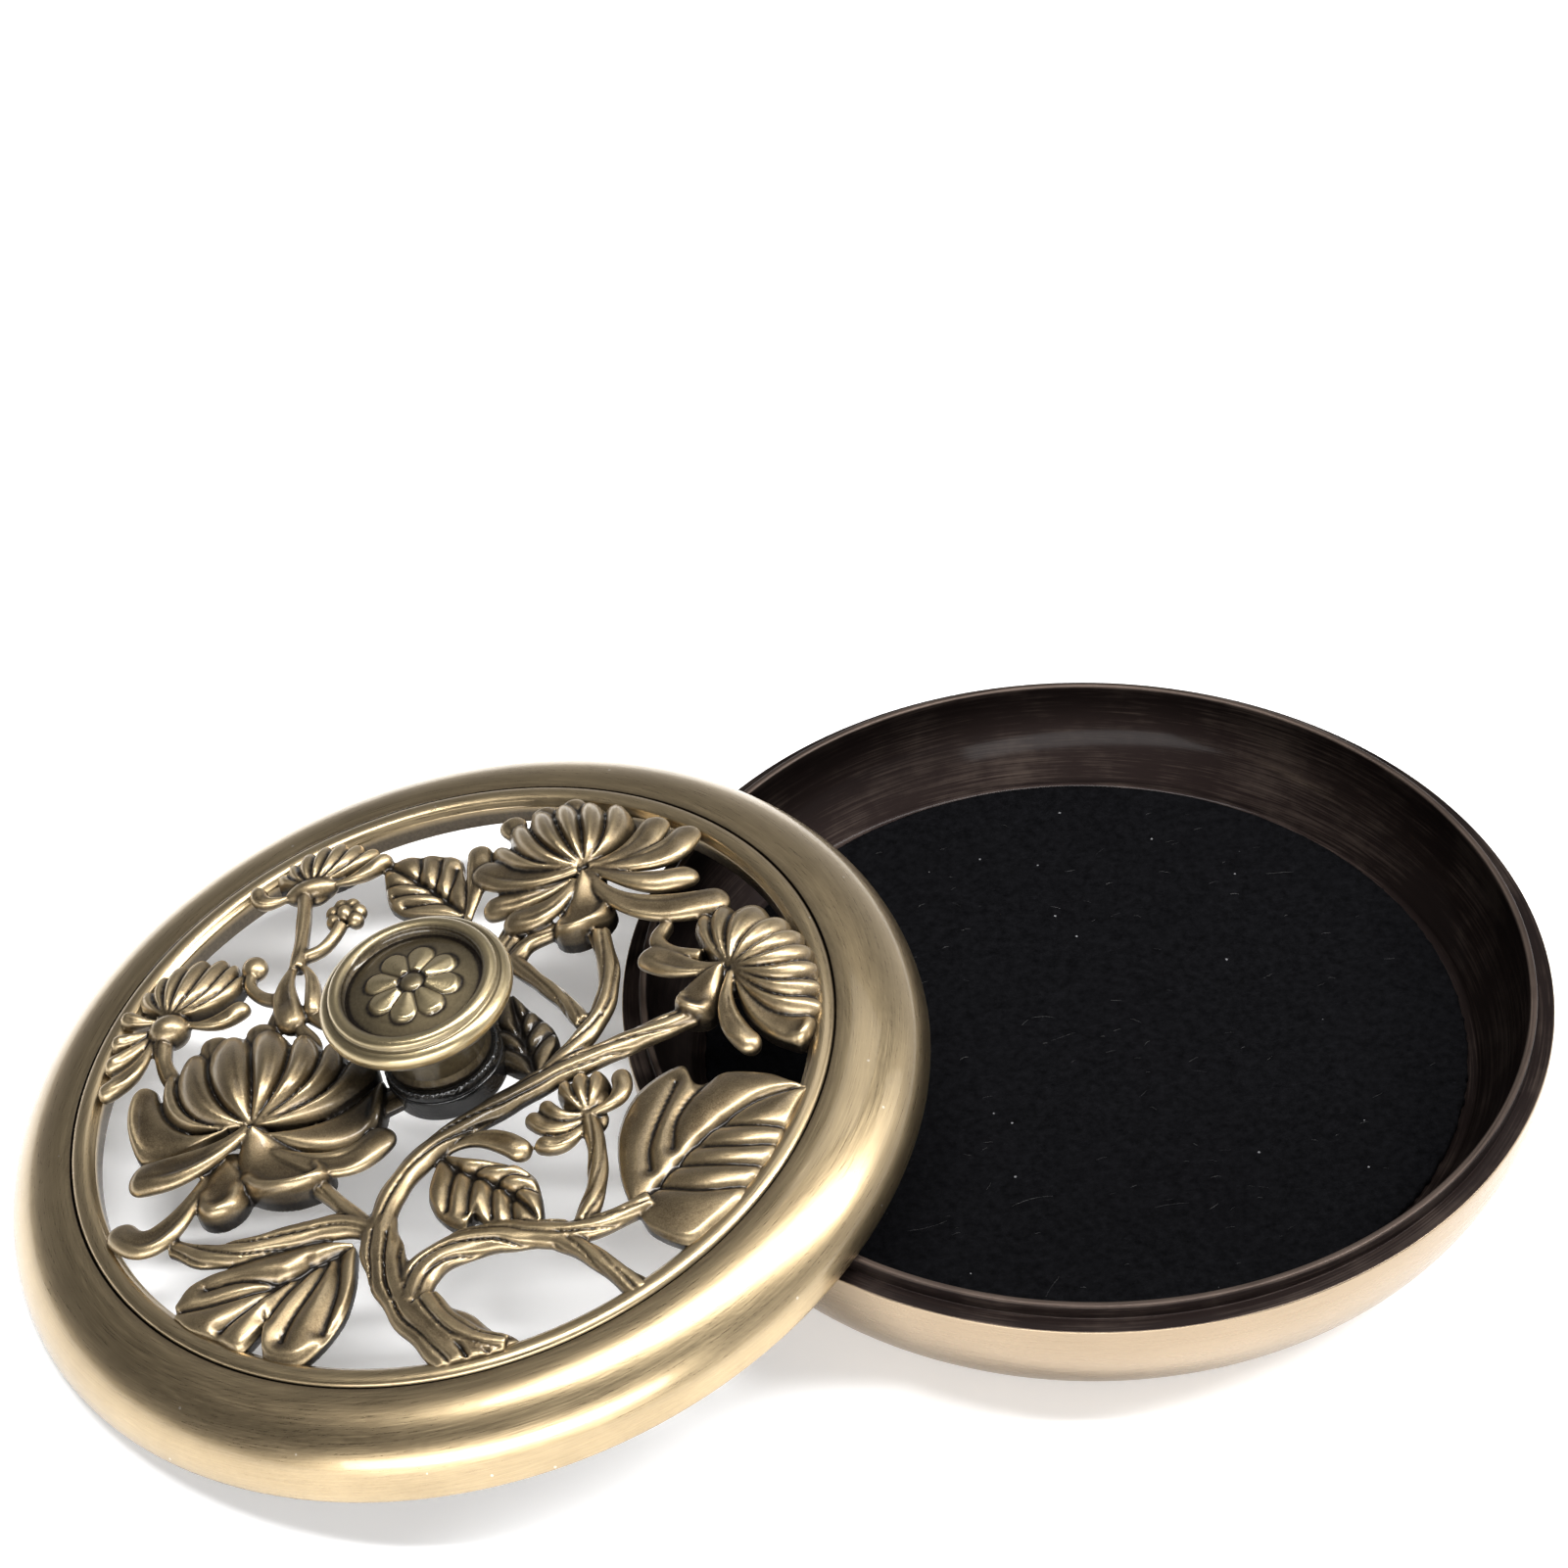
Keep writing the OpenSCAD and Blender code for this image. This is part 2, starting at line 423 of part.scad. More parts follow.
// Half-open flower on its own twig
module flower_bud() {
    bulge([16, -13.6, 0.8], [3, 3.2, 1.8]);
    fan([15.9, -16.4, 1.8], [
        [[13.7, -13.8, 2.6], [12.6, -10.8]], [[14.9, -13.2, 3], [14.9, -9.6]], [[16.8, -13.2, 3], [17.2, -9.4]],
        [[18.4, -14, 2.4], [19.4, -10.6]]], 0.6);
    petal([16, -16.4, 1.6], [20.2, -15.2, 1.8], [20.8, -10.6, 0.9], 1.3, rings = 4);
    petal([15.6, -16.2, 1.6], [12.6, -15.4, 1.8], [10.9, -12.2, 1], 1.1, rings = 4);
    petal([15.6, -16.8, 1.4], [11.6, -17, 1.5], [8.8, -13.2, 0.8], 1.2, rings = 4);
    petal([15.8, -17.2, 1.2], [12.2, -19.6, 1.3], [9, -17.8, 0.7], 1.2, rings = 4);
}

// Large leaf at the lower right
module leaf_right() {
    leaf([
        [[18.8, -32.7], [18.3, -32], [19, -33.5]], [[20.6, -31.5], [17.9, -26.5], [20.2, -37]],
        [[22.6, -30], [19, -19.5], [24.2, -40.8]], [[25.2, -27.9], [22.5, -14], [27.6, -39.6]],
        [[28, -25.8], [28.4, -11.8], [31.2, -37.2]], [[30.4, -24.4], [29.8, -15.6], [34, -34]],
        [[33, -23.1], [33.8, -15.4], [37, -30.8]], [[36.4, -21.9], [38.6, -17.8], [39.2, -27.4]],
        [[40, -21.8], [41, -20.2], [41.4, -24]], [[42.6, -22], [42.7, -21.8], [42.7, -22.2]]], 1, 1.1, 0.45);
}

// Lobed leaf at the lower left
module leaf_left() {
    leaf([
        [[-15.6, -24.6], [-15.4, -25.2], [-15.8, -24]], [[-18, -25.2], [-16.6, -31], [-18.5, -22.9]],
        [[-20.5, -25.9], [-19.2, -36.2], [-21, -22.4]], [[-23, -26.6], [-24.4, -40.2], [-24, -22.2]],
        [[-25.4, -27], [-28.8, -37.4], [-27, -22]], [[-27.4, -27.2], [-27.6, -32.8], [-29, -22]],
        [[-29.6, -27.3], [-31.4, -35.6], [-31.5, -22]], [[-32, -27.3], [-34.6, -32.6], [-34, -22]],
        [[-35, -27.1], [-37.4, -30], [-36.6, -22.8]], [[-38.5, -26.5], [-38.9, -27.2], [-38.6, -25.2]]]);
}

// Small leaf in the middle, with a curled lobe
module leaf_middle() {
    leaf([
        [[-3, -14.8], [-2.5, -14.6], [-3.5, -15.2]], [[-1.9, -16.8], [0.5, -16.6], [-5.6, -20.4]],
        [[-0.4, -18.6], [3.4, -18.2], [-4.6, -24.6]], [[1.4, -20.4], [5.8, -19.8], [-2.2, -27.3]],
        [[3, -22.2], [7.7, -22.2], [-0.6, -26]], [[4.6, -24.4], [8, -25], [1, -28]],
        [[6, -27], [7.9, -27.8], [4, -29.4]], [[7.2, -29.8], [7.5, -29.6], [6.6, -30]]]);
    petal([-2.4, -14.4, 0.6], [3, -14.9, 1.2], [7.6, -19.4, 0.8], 1.6);
}

// Leaf at the top, between two flowers, with a narrow second lobe
module leaf_top() {
    leaf([
        [[6, 26], [5.4, 25.8], [6.6, 26.4]], [[4.9, 28], [1.4, 27.6], [7.4, 30]],
        [[3.8, 30.1], [-1.4, 29.2], [7.4, 33.6]], [[2.6, 32.2], [-3.2, 31.6], [7.2, 36.4]],
        [[1.2, 34.2], [-3.5, 34.4], [4.8, 38.2]], [[-0.4, 36.4], [-3.4, 37], [1.4, 39.6]],
        [[-2.2, 38.6], [-3.2, 38.2], [-1.6, 39.6]]]);
    petal([6.4, 24.8, 0.4], [8.8, 30.6, 1], [10, 37, 0.5], 1.7);
}

// Dark leaf low behind the knob
module leaf_knob() {
    leaf([
        [[10.6, -6.4], [10.2, -6.4], [11, -6.4]], [[10.4, -3.6], [7.6, -3.8], [13.2, -3.4]],
        [[10.2, -1.4], [6.3, -1.8], [14.3, -1.4]], [[10, 1.2], [6.5, 1.4], [14, 1.4]],
        [[9.9, 4], [6.9, 4.2], [12.7, 4]], [[9.8, 6.6], [8, 6.8], [11.3, 6.5]],
        [[9.8, 9], [9.5, 9], [10.1, 9]]], 0.5);
}

// Bead ring that drops into the rim and carries the sprig
module bead_ring() {
    bead_r = bead_w*0.44;
    mid_r = ring_r - bead_r;
    rotate_extrude($fn = 64) polygon(concat(
        [[ring_in, shelf_z], [ring_r, shelf_z]],
        arc_pts(mid_r, bead_top - bead_r, bead_r, bead_r, 0, 140, 4),
        [[ring_in, bead_top - bead_r*0.7]]));
}

// Boss under the knob, with the hole for its screw
module knob_boss() {
    translate([0, 0, boss_under]) cylinder(h = boss_t, d = boss_d, $fn = 32);
}

// Sprig: drawn for a bead ring 93 wide inside, and stretched with it.
// It ends inside the bead ring, so nothing of it reaches the rim.
module sprig() {
    grow = ring_in/46.6;
    intersection() {
        scale([grow, grow, 1]) {
            flower_left();
            flower_top();
            flower_right();
            flower_side();
            flower_stalk();
            flower_bud();
            buds();
            branches();
            leaf_right();
            leaf_left();
            leaf_middle();
            leaf_top();
            leaf_knob();
        }
        translate([0, 0, -3]) cylinder(h = 12, r = ring_in + bead_w*0.3, $fn = 32);
    }
}

// Openwork: the bead ring, the boss and the sprig of flowers, leaves and branches, cast as one
module openwork() {
    color(brass) lid_place() difference() {
        union() {
            bead_ring();
            knob_boss();
            translate([0, 0, crown_h]) sprig();
        }
        translate([0, 0, boss_under - 2]) cylinder(h = boss_t + 4, d = screw_d + 2*screw_gap, $fn = 24);
        translate([0, 0, collar_z]) cylinder(h = 6, d = boss_d + 0.6, $fn = 32);
        translate([0, 0, boss_under - 6]) cylinder(h = 6, d = boss_d - 1.4, $fn = 32);
    }
}

// Collar: dark ring between the boss and the knob
module knob_collar() {
    color("#15120f") lid_place() translate([0, 0, collar_z]) difference() {
        cylinder(h = collar_t, r = collar_r, $fn = turn);
        translate([0, 0, -eps]) cylinder(h = collar_t + 2*eps, d = screw_d + 2*screw_gap, $fn = 48);
    }
}

// Knob: cup-shaped, with a rounded lip, a groove, a raised ring and a low dome
module knob() {
    lip = 1.5;
    lip_z = knob_h - 2.5;
    ring_o = knob_r - 1.5;
    field_r = ring_o - 1.9;
    color(brass) lid_place() translate([0, 0, knob_z]) difference() {
        rotate_extrude($fn = turn) polygon(concat(
            [[0, 0], [stem_r, 0], [stem_r, 0.6], [stem_r - 0.4, 1.2]],
            [for (i = [0:8]) let (t = i/8)
                [stem_r - 0.4 + (knob_r - 1.1 - stem_r)*(1 - cos(90*t)), 1.4 + (lip_z - 2.2)*sin(90*t)]],
            arc_pts(knob_r - lip, lip_z, lip, lip, -40, 75, 8),
            [[ring_o + 0.1, lip_z + lip - 0.3], [ring_o, knob_h - 0.8]],
            arc_pts(ring_o - 0.95, knob_h - 0.8, 0.95, 0.8, 20, 160, 7),
            [[field_r, knob_h - 1.6]],
            [for (i = [1:6]) let (t = i/6) [field_r*(1 - t), knob_h - 1.6 + 1.1*sin(90*t)]]));
        translate([0, 0, -eps]) cylinder(h = screw_reach + 0.6, d = screw_d + 0.1, $fn = 48);
    }
}

// Screw: pan head with a cross recess, up through the boss and the collar into the knob
module knob_screw() {
    slot_w = 1;
    slot_h = head_h*0.5;
    shank_h = head_h + washer_t + boss_t + collar_t + screw_reach;
    color("#8c8c88") lid_place() translate([0, 0, head_z]) difference() {
        union() {
            rotate_extrude($fn = turn) polygon([[0, 0], [head_r - 0.9, 0], [head_r - 0.2, head_h*0.3],
                [head_r, head_h*0.6], [head_r, head_h], [0, head_h]]);
            cylinder(h = shank_h, d = screw_d, $fn = 48);
        }
        for (a = [0, 90]) rotate(a) translate([-head_r*0.6, -slot_w/2, -eps]) cube([head_r*1.2, slot_w, slot_h]);
    }
}

// Washer between the screw's head and the boss
module screw_washer() {
    color("#8c8c88") lid_place() translate([0, 0, boss_under - washer_t]) difference() {
        cylinder(h = washer_t, r = washer_r, $fn = turn);
        translate([0, 0, -eps]) cylinder(h = washer_t + 2*eps, d = screw_d + 2*screw_gap, $fn = 48);
    }
}

tray();
fire_mat();
lid_rim();
openwork();
knob_collar();
knob();
knob_screw();
screw_washer();
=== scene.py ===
import math
import bpy
import numpy as np
from mathutils import Matrix, Vector


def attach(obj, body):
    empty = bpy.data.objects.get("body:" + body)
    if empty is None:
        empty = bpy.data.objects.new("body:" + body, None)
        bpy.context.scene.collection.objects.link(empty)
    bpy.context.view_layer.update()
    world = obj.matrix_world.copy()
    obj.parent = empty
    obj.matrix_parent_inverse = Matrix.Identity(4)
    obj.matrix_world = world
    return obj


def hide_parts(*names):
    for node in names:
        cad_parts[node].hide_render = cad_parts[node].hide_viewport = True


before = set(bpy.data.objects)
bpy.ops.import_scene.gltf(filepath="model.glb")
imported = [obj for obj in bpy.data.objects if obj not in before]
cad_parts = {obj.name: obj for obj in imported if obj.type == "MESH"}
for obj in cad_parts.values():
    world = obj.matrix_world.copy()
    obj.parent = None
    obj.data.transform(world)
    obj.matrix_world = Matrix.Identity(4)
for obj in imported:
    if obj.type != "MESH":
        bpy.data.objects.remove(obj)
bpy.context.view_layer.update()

print("frame loaded:", sorted(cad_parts))

# All shapes are drawn in millimetres in the piece's own frame and placed in metres at the end.
tray = {"ledgeRadius": 59.6, "ledgeHeight": 18.0, "ledgeWidth": 2.3, "spigotHeight": 2.0, "spigotThick": 1.0,
        "bowlRun": 12.4, "footWidth": 3.6, "recess": 4.4, "floor": 6.7, "floorRadius": 50.5, "segments": 288}
rim = {"radius": 60.0, "crown": 9.3, "run": 9.0, "wall": 2.2, "belly": 0.5, "skirtGap": 0.25, "bore": 49.9,
       "shelf": 6.1, "shelfWidth": 1.9, "shelfThick": 1.4, "segments": 320}
lean = {"reach": 80.5, "gap": 0.25}


def leanAngle():
    spigot = tray["ledgeRadius"] - tray["ledgeWidth"]
    skirtIn = spigot + rim["skirtGap"]
    crossing = -(lean["reach"] ** 2 + spigot ** 2 - skirtIn ** 2) / (2 * lean["reach"])
    rise = tray["ledgeHeight"] + tray["spigotHeight"] + lean["gap"]
    angle = math.radians(10)
    for _ in range(8):
        angle = math.asin(rise / (tray["ledgeRadius"] + (lean["reach"] + crossing) / math.cos(angle)))
    return angle


leanRad = leanAngle()
lidMatrix = (Matrix.Translation((-lean["reach"], 0, tray["ledgeRadius"] * math.sin(leanRad)))
             @ Matrix.Rotation(-leanRad, 4, "Y"))
print("the lid leans by %.3f degrees" % math.degrees(leanRad))


def toLid(points):
    m = np.array(lidMatrix)
    return points @ m[:3, :3].T + m[:3, 3]


def addPiece(name, points, faces, body, replaced, material, values=None):
    placed = (toLid(points) if body == "lid" else points) * 0.001
    mesh = bpy.data.meshes.new(name)
    mesh.from_pydata(placed.tolist(), [], faces)
    mesh.polygons.foreach_set("use_smooth", [True] * len(mesh.polygons))
    # where the point is on the casting, in mm
    own = mesh.attributes.new("castPoint", "FLOAT_VECTOR", "POINT")
    own.data.foreach_set("vector", np.ascontiguousarray(points, dtype=np.float32).ravel())
    for key, numbers in (values or {}).items():
        layer = mesh.attributes.new(key, "FLOAT", "POINT")
        layer.data.foreach_set("value", np.ascontiguousarray(numbers, dtype=np.float32))
    mesh.update()
    mesh.materials.append(material)
    piece = bpy.data.objects.new(name, mesh)
    bpy.context.scene.collection.objects.link(piece)
    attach(piece, body)
    if replaced:
        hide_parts(replaced)
    return piece


def arc(cx, cz, rx, rz, start, end, steps):
    angles = [math.radians(start + (end - start) * i / steps) for i in range(steps + 1)]
    return [(cx + rx * math.cos(a), cz + rz * math.sin(a)) for a in angles]


# rounds the corners of a closed profile, each by its own reach
def easeCorners(profile, reaches, steps=4):
    out = []
    for i, reach in enumerate(reaches):
        before, here, after = (np.array(profile[k % len(profile)], float) for k in (i - 1, i, i + 1))
        toBefore, toAfter = before - here, after - here
        cut = min(reach, np.linalg.norm(toBefore) * 0.45, np.linalg.norm(toAfter) * 0.45)
        if cut < 0.005:
            out.append(profile[i])
            continue
        first = here + toBefore / np.linalg.norm(toBefore) * cut
        last = here + toAfter / np.linalg.norm(toAfter) * cut
        for t in np.linspace(0, 1, steps + 1):
            p = (1 - t) ** 2 * first + 2 * t * (1 - t) * here + t * t * last
            out.append((float(p[0]), float(p[1])))
    return out


# puts extra points on the long edges of a profile
def finer(profile, step, closed=True):
    out = []
    for i in range(len(profile) if closed else len(profile) - 1):
        a, b = np.array(profile[i]), np.array(profile[(i + 1) % len(profile)])
        parts = max(1, int(np.linalg.norm(b - a) / step))
        out += [tuple(a + (b - a) * k / parts) for k in range(parts)]
    return out if closed else out + [tuple(profile[-1])]


# turns a profile of (radius, height) round Z. Points on the axis become one
def lathe(profile, segments, closed=True):
    angles = np.arange(segments) * 2 * math.pi / segments
    ring, points = [], []
    for r, z in profile:
        if r < 1e-6:
            ring.append([len(points)] * segments)
            points.append((0, 0, z))
        else:
            ring.append(list(range(len(points), len(points) + segments)))
            points.extend(zip(r * np.cos(angles), r * np.sin(angles), [z] * segments))
    faces = []
    for k in range(len(profile) if closed else len(profile) - 1):
        low, high = ring[k], ring[(k + 1) % len(profile)]
        for s in range(segments):
            n = (s + 1) % segments
            corner = [low[s], low[n], high[n], high[s]]
            face = [c for i, c in enumerate(corner) if c != corner[i - 1]]
            if len(face) > 2:
                faces.append(face)
    points = np.array(points, float)
    return points, faces, np.hypot(points[:, 0], points[:, 1]), points[:, 2].copy()


def bump1(value, middle, width):
    return np.exp(-((value - middle) / width) ** 2)


# the edges and the points' normals of a mesh
def measureMesh(points, faces):
    mesh = bpy.data.meshes.new("measure")
    mesh.from_pydata(points.tolist(), [], faces)
    edges = np.zeros(len(mesh.edges) * 2, np.int32)
    mesh.edges.foreach_get("vertices", edges)
    normals = np.zeros(len(points) * 3, np.float32)
    mesh.vertices.foreach_get("normal", normals)
    bpy.data.meshes.remove(mesh)
    return edges.reshape(-1, 2), normals.reshape(-1, 3)


def neighbourMean(points, edges):
    a, b = edges[:, 0], edges[:, 1]
    count = np.maximum(np.bincount(edges.ravel(), minlength=len(points)), 1)
    total = [np.bincount(a, points[b, k], len(points)) + np.bincount(b, points[a, k], len(points))
             for k in range(3)]
    return np.stack(total, 1) / count[:, None]


# how far each point lies below (plus) or above (minus) its smoothed surroundings, at several widths
def meshRelief(points, edges, normals, rounds):
    smooth = points.copy()
    out, done = [], 0
    for goal in rounds:
        for _ in range(done, goal):
            smooth = 0.35 * smooth + 0.65 * neighbourMean(smooth, edges)
        done = goal
        out.append(((smooth - points) * normals).sum(1))
    return out


# A shader group gives only values and colours; the materials hold the shaders.
# An input that starts as None is a place, as a number a value, as a tuple a colour.
def newGroup(name, inputs, outputs):
    group = bpy.data.node_groups.new(name, "ShaderNodeTree")
    for label, value in inputs.items():
        kind = "Vector" if value is None else "Color" if isinstance(value, tuple) else "Float"
        socket = group.interface.new_socket(label, in_out="INPUT", socket_type="NodeSocket" + kind)
        if value is not None:
            socket.default_value = value
    for label in outputs:
        kind = "Color" if label == "Color" else "Float"
        group.interface.new_socket(label, in_out="OUTPUT", socket_type="NodeSocket" + kind)
    start = group.nodes.new("NodeGroupInput").outputs
    end = group.nodes.new("NodeGroupOutput").inputs
    return group, start, end


def setOrLink(tree, socket, value):
    if isinstance(value, (int, float)):
        socket.default_value = value
    elif isinstance(value, tuple):
        socket.default_value = (*value[:3], 1)
    else:
        tree.links.new(value, socket)


def addMath(tree, operation, a, b=None, clamp=False):
    node = tree.nodes.new("ShaderNodeMath")
    node.operation = operation
    node.use_clamp = clamp
    setOrLink(tree, node.inputs[0], a)
    if b is not None:
        setOrLink(tree, node.inputs[1], b)
    return node.outputs[0]


# the sum of some values, each times its weight
def addUp(tree, *pairs, clamp=False):
    total = None
    for value, weight in pairs:
        part = value if weight == 1 else addMath(tree, "MULTIPLY", value, weight)
        last = clamp and value is pairs[-1][0]
        total = part if total is None else addMath(tree, "ADD", total, part, last)
    return total


def addMix(tree, factor, a, b, blend="MIX"):
    node = tree.nodes.new("ShaderNodeMix")
    node.data_type = "RGBA"
    node.blend_type = blend
    node.clamp_factor = True
    for i, value in ((0, factor), (6, a), (7, b)):
        setOrLink(tree, node.inputs[i], value)
    return node.outputs[2]


def addNoise(tree, vector, scale, detail=2.0, roughness=0.5):
    node = tree.nodes.new("ShaderNodeTexNoise")
    for label, value in (("Scale", scale), ("Detail", detail), ("Roughness", roughness), ("Vector", vector)):
        setOrLink(tree, node.inputs[label], value)
    return node.outputs["Fac"]


def addRange(tree, value, fromLow, fromHigh, toLow=0.0, toHigh=1.0):
    node = tree.nodes.new("ShaderNodeMapRange")
    node.clamp = True
    for i, number in enumerate((value, fromLow, fromHigh, toLow, toHigh)):
        setOrLink(tree, node.inputs[i], number)
    return node.outputs[0]


# fine lines that run round the casting's axis, and the same lines on a slow slant
def makeBrushedGrain():
    tree, start, end = newGroup("brushedGrain", {
        "Point": None, "Line Width": 0.16, "Line Length": 7.0, "Slant": 0.25}, ["Lines", "Cross"])
    split = tree.nodes.new("ShaderNodeSeparateXYZ")
    tree.links.new(start["Point"], split.inputs[0])
    x, y, z = split.outputs
    radius = addMath(tree, "SQRT", addUp(tree, (x, x), (y, y)))

    def lines(crossing):
        join = tree.nodes.new("ShaderNodeCombineXYZ")
        for i, (across, along) in enumerate(((crossing, x), (z, y))):
            parts = (addMath(tree, "DIVIDE", across, start["Line Width"]),
                     addMath(tree, "DIVIDE", along, start["Line Length"]))
            tree.links.new(addMath(tree, "ADD", *parts), join.inputs[i])
        drift = addMath(tree, "SUBTRACT", x, y)
        tree.links.new(addMath(tree, "DIVIDE", drift, start["Line Length"]), join.inputs[2])
        return addNoise(tree, join.outputs[0], 1.0, 3.0, 0.6)

    tree.links.new(lines(radius), end["Lines"])
    turn = addMath(tree, "MULTIPLY", addMath(tree, "ARCTAN2", y, x), 3.0)
    sway = addMath(tree, "MULTIPLY", start["Slant"], 20.0)
    tree.links.new(lines(addUp(tree, (addMath(tree, "SINE", turn), sway), (radius, 1))), end["Cross"])
    return tree


# antique plating: brown on the flats, rubbed bright on the raised parts, and dark where each piece's mask
# asks: patina in the hollows and painted shade
def makePatina():
    tree, start, end = newGroup("patina", {
        "Point": None, "Hollow": 0.0, "Crest": 0.0, "Grain": 0.5, "Cloud Size": 0.08, "Wear": 0.5,
        "Least Roughness": 0.1, "Bright": (0.72, 0.6, 0.36, 1), "Brown": (0.33, 0.25, 0.14, 1),
        "Dark": (0.03, 0.022, 0.016, 1)}, ["Color", "Roughness"])
    uneven, ragged = 0.9, 0.35
    spread = tree.nodes.new("ShaderNodeVectorMath")
    spread.operation = "SCALE"
    tree.links.new(start["Point"], spread.inputs[0])
    tree.links.new(start["Cloud Size"], spread.inputs["Scale"])
    cloud = addNoise(tree, spread.outputs[0], 1.0, 4.0, 0.6)
    speck = addNoise(tree, start["Point"], 2.3, 3.0, 0.7)
    wear = addUp(tree, (cloud, uneven), (start["Grain"], uneven), (start["Wear"], 1), (-uneven, 1),
                 (start["Crest"], 1), clamp=True)
    flat = addMix(tree, wear, start["Brown"], start["Bright"])
    # the dark share: patina in the hollows plus painted shade, as each piece's mask gives it
    edge = addUp(tree, (speck, ragged), (start["Hollow"], 1), (-ragged / 2, 1), clamp=True)
    patinaAndShadeMask = addMath(tree, "MULTIPLY", edge, addMath(tree, "GREATER_THAN", start["Hollow"], 0.001))
    tree.links.new(addMix(tree, patinaAndShadeMask, flat, start["Dark"]), end["Color"])
    rough = addUp(tree, (start["Grain"], 0.4), (patinaAndShadeMask, 0.2), (start["Least Roughness"], 1))
    tree.links.new(rough, end["Roughness"])
    return tree


# tiny bright flecks, such as lint and pinholes in the plating
def makeDustFlecks():
    tree, start, end = newGroup("dustFlecks", {"Point": None, "Rarity": 0.9, "Size": 0.12}, ["Mask"])
    cells = tree.nodes.new("ShaderNodeTexVoronoi")
    cells.inputs["Scale"].default_value = 0.55
    tree.links.new(start["Point"], cells.inputs["Vector"])
    pick = tree.nodes.new("ShaderNodeSeparateColor")
    tree.links.new(cells.outputs["Color"], pick.inputs[0])
    near = addMath(tree, "LESS_THAN", cells.outputs["Distance"], start["Size"])
    some = addMath(tree, "GREATER_THAN", pick.outputs[0], start["Rarity"])
    tree.links.new(addMath(tree, "MULTIPLY", near, some), end["Mask"])
    return tree


brushedGrain = makeBrushedGrain()
patina = makePatina()
dustFlecks = makeDustFlecks()


def newMaterial(name, **fixed):
    material = bpy.data.materials.new(name)
    material.use_nodes = True
    shader = material.node_tree.nodes["Principled BSDF"]
    for label, value in fixed.items():
        shader.inputs[label.replace("_", " ")].default_value = value
    return material, material.node_tree, shader


def feed(tree, node, **values):
    for label, value in values.items():
        setOrLink(tree, node.inputs[label.replace("_", " ")], value)


def placeGroup(tree, group, **values):
    node = tree.nodes.new("ShaderNodeGroup")
    node.node_tree = group
    feed(tree, node, **values)
    return node.outputs


def readValue(tree, name, output="Fac"):
    node = tree.nodes.new("ShaderNodeAttribute")
    node.attribute_name = name
    return node.outputs[output]


# each piece's mask holds patina in its hollows and painted shade; its crests are rubbed bright
def placePatina(tree, point, grain, **tones):
    return placeGroup(tree, patina, Point=point, Grain=grain, Hollow=readValue(tree, "hollow"),
                      Crest=readValue(tree, "crest"), **tones)


def addBump(tree, shader, height, strength, distance):
    bump = tree.nodes.new("ShaderNodeBump")
    feed(tree, bump, Strength=strength, Distance=distance, Height=height)
    tree.links.new(bump.outputs[0], shader.inputs["Normal"])


brassLook = {"Dark": (0.018, 0.013, 0.01), "Cloud_Size": 0.05, "Least_Roughness": 0.12}
lidTones = {"Bright": (0.585, 0.455, 0.27), "Brown": (0.27, 0.2, 0.112), "Wear": 0.42}
knobTones = {"Bright": (0.64, 0.52, 0.3), "Brown": (0.3, 0.235, 0.13), "Wear": 0.45}
castLook = {"Bright": (0.53, 0.41, 0.24), "Brown": (0.12, 0.085, 0.047), "Dark": (0.014, 0.011, 0.0085),
            "Wear": 0.16, "Cloud_Size": 0.11, "Least_Roughness": 0.2}
trayOutside = {"Bright": (0.37, 0.29, 0.2), "Brown": (0.27, 0.205, 0.138), "Dark": (0.03, 0.02, 0.015),
               "Wear": 0.5, "Cloud_Size": 0.04}
trayInside = {"Bright": (0.13, 0.098, 0.08), "Brown": (0.016, 0.011, 0.01), "Dark": (0.006, 0.005, 0.005),
              "Wear": 0.02, "Cloud_Size": 0.09}
feltTones = {"low": (0.0014, 0.0014, 0.0017), "high": (0.006, 0.006, 0.007), "strand": (0.026, 0.026, 0.03),
             "lint": (0.3, 0.3, 0.31)}


def makeBrushedBrass(name, lineWidth, tones):
    material, tree, shader = newMaterial(name, Metallic=1.0, Coat_Weight=0.55, Coat_Roughness=0.07)
    point = readValue(tree, "castPoint", "Vector")
    grain = placeGroup(tree, brushedGrain, Point=point, Line_Width=lineWidth, Line_Length=9.0)
    lines = addUp(tree, (grain["Lines"], 0.6), (grain["Cross"], 0.4))
    coat = placePatina(tree, point, lines, **brassLook, **tones)
    flecks = placeGroup(tree, dustFlecks, Point=point, Rarity=0.93, Size=0.1)
    spotted = addMix(tree, addMath(tree, "MULTIPLY", flecks["Mask"], 0.5), coat["Color"], (0.85, 0.8, 0.7))
    feed(tree, shader, Base_Color=spotted, Roughness=coat["Roughness"])
    addBump(tree, shader, lines, 0.45, 0.000035)
    return material


# cast relief: no brush lines, but a fine sand-cast grain
def makeCastBrass():
    material, tree, shader = newMaterial("castBrass", Metallic=1.0, Coat_Weight=0.5, Coat_Roughness=0.14)
    point = readValue(tree, "castPoint", "Vector")
    fine = addNoise(tree, point, 5.5, 4.0, 0.65)
    coarse = addNoise(tree, point, 1.1, 3.0, 0.5)
    coat = placePatina(tree, point, fine, **castLook)
    feed(tree, shader, Base_Color=coat["Color"], Roughness=coat["Roughness"])
    addBump(tree, shader, addUp(tree, (fine, 0.4), (coarse, 1)), 0.5, 0.00005)
    return material


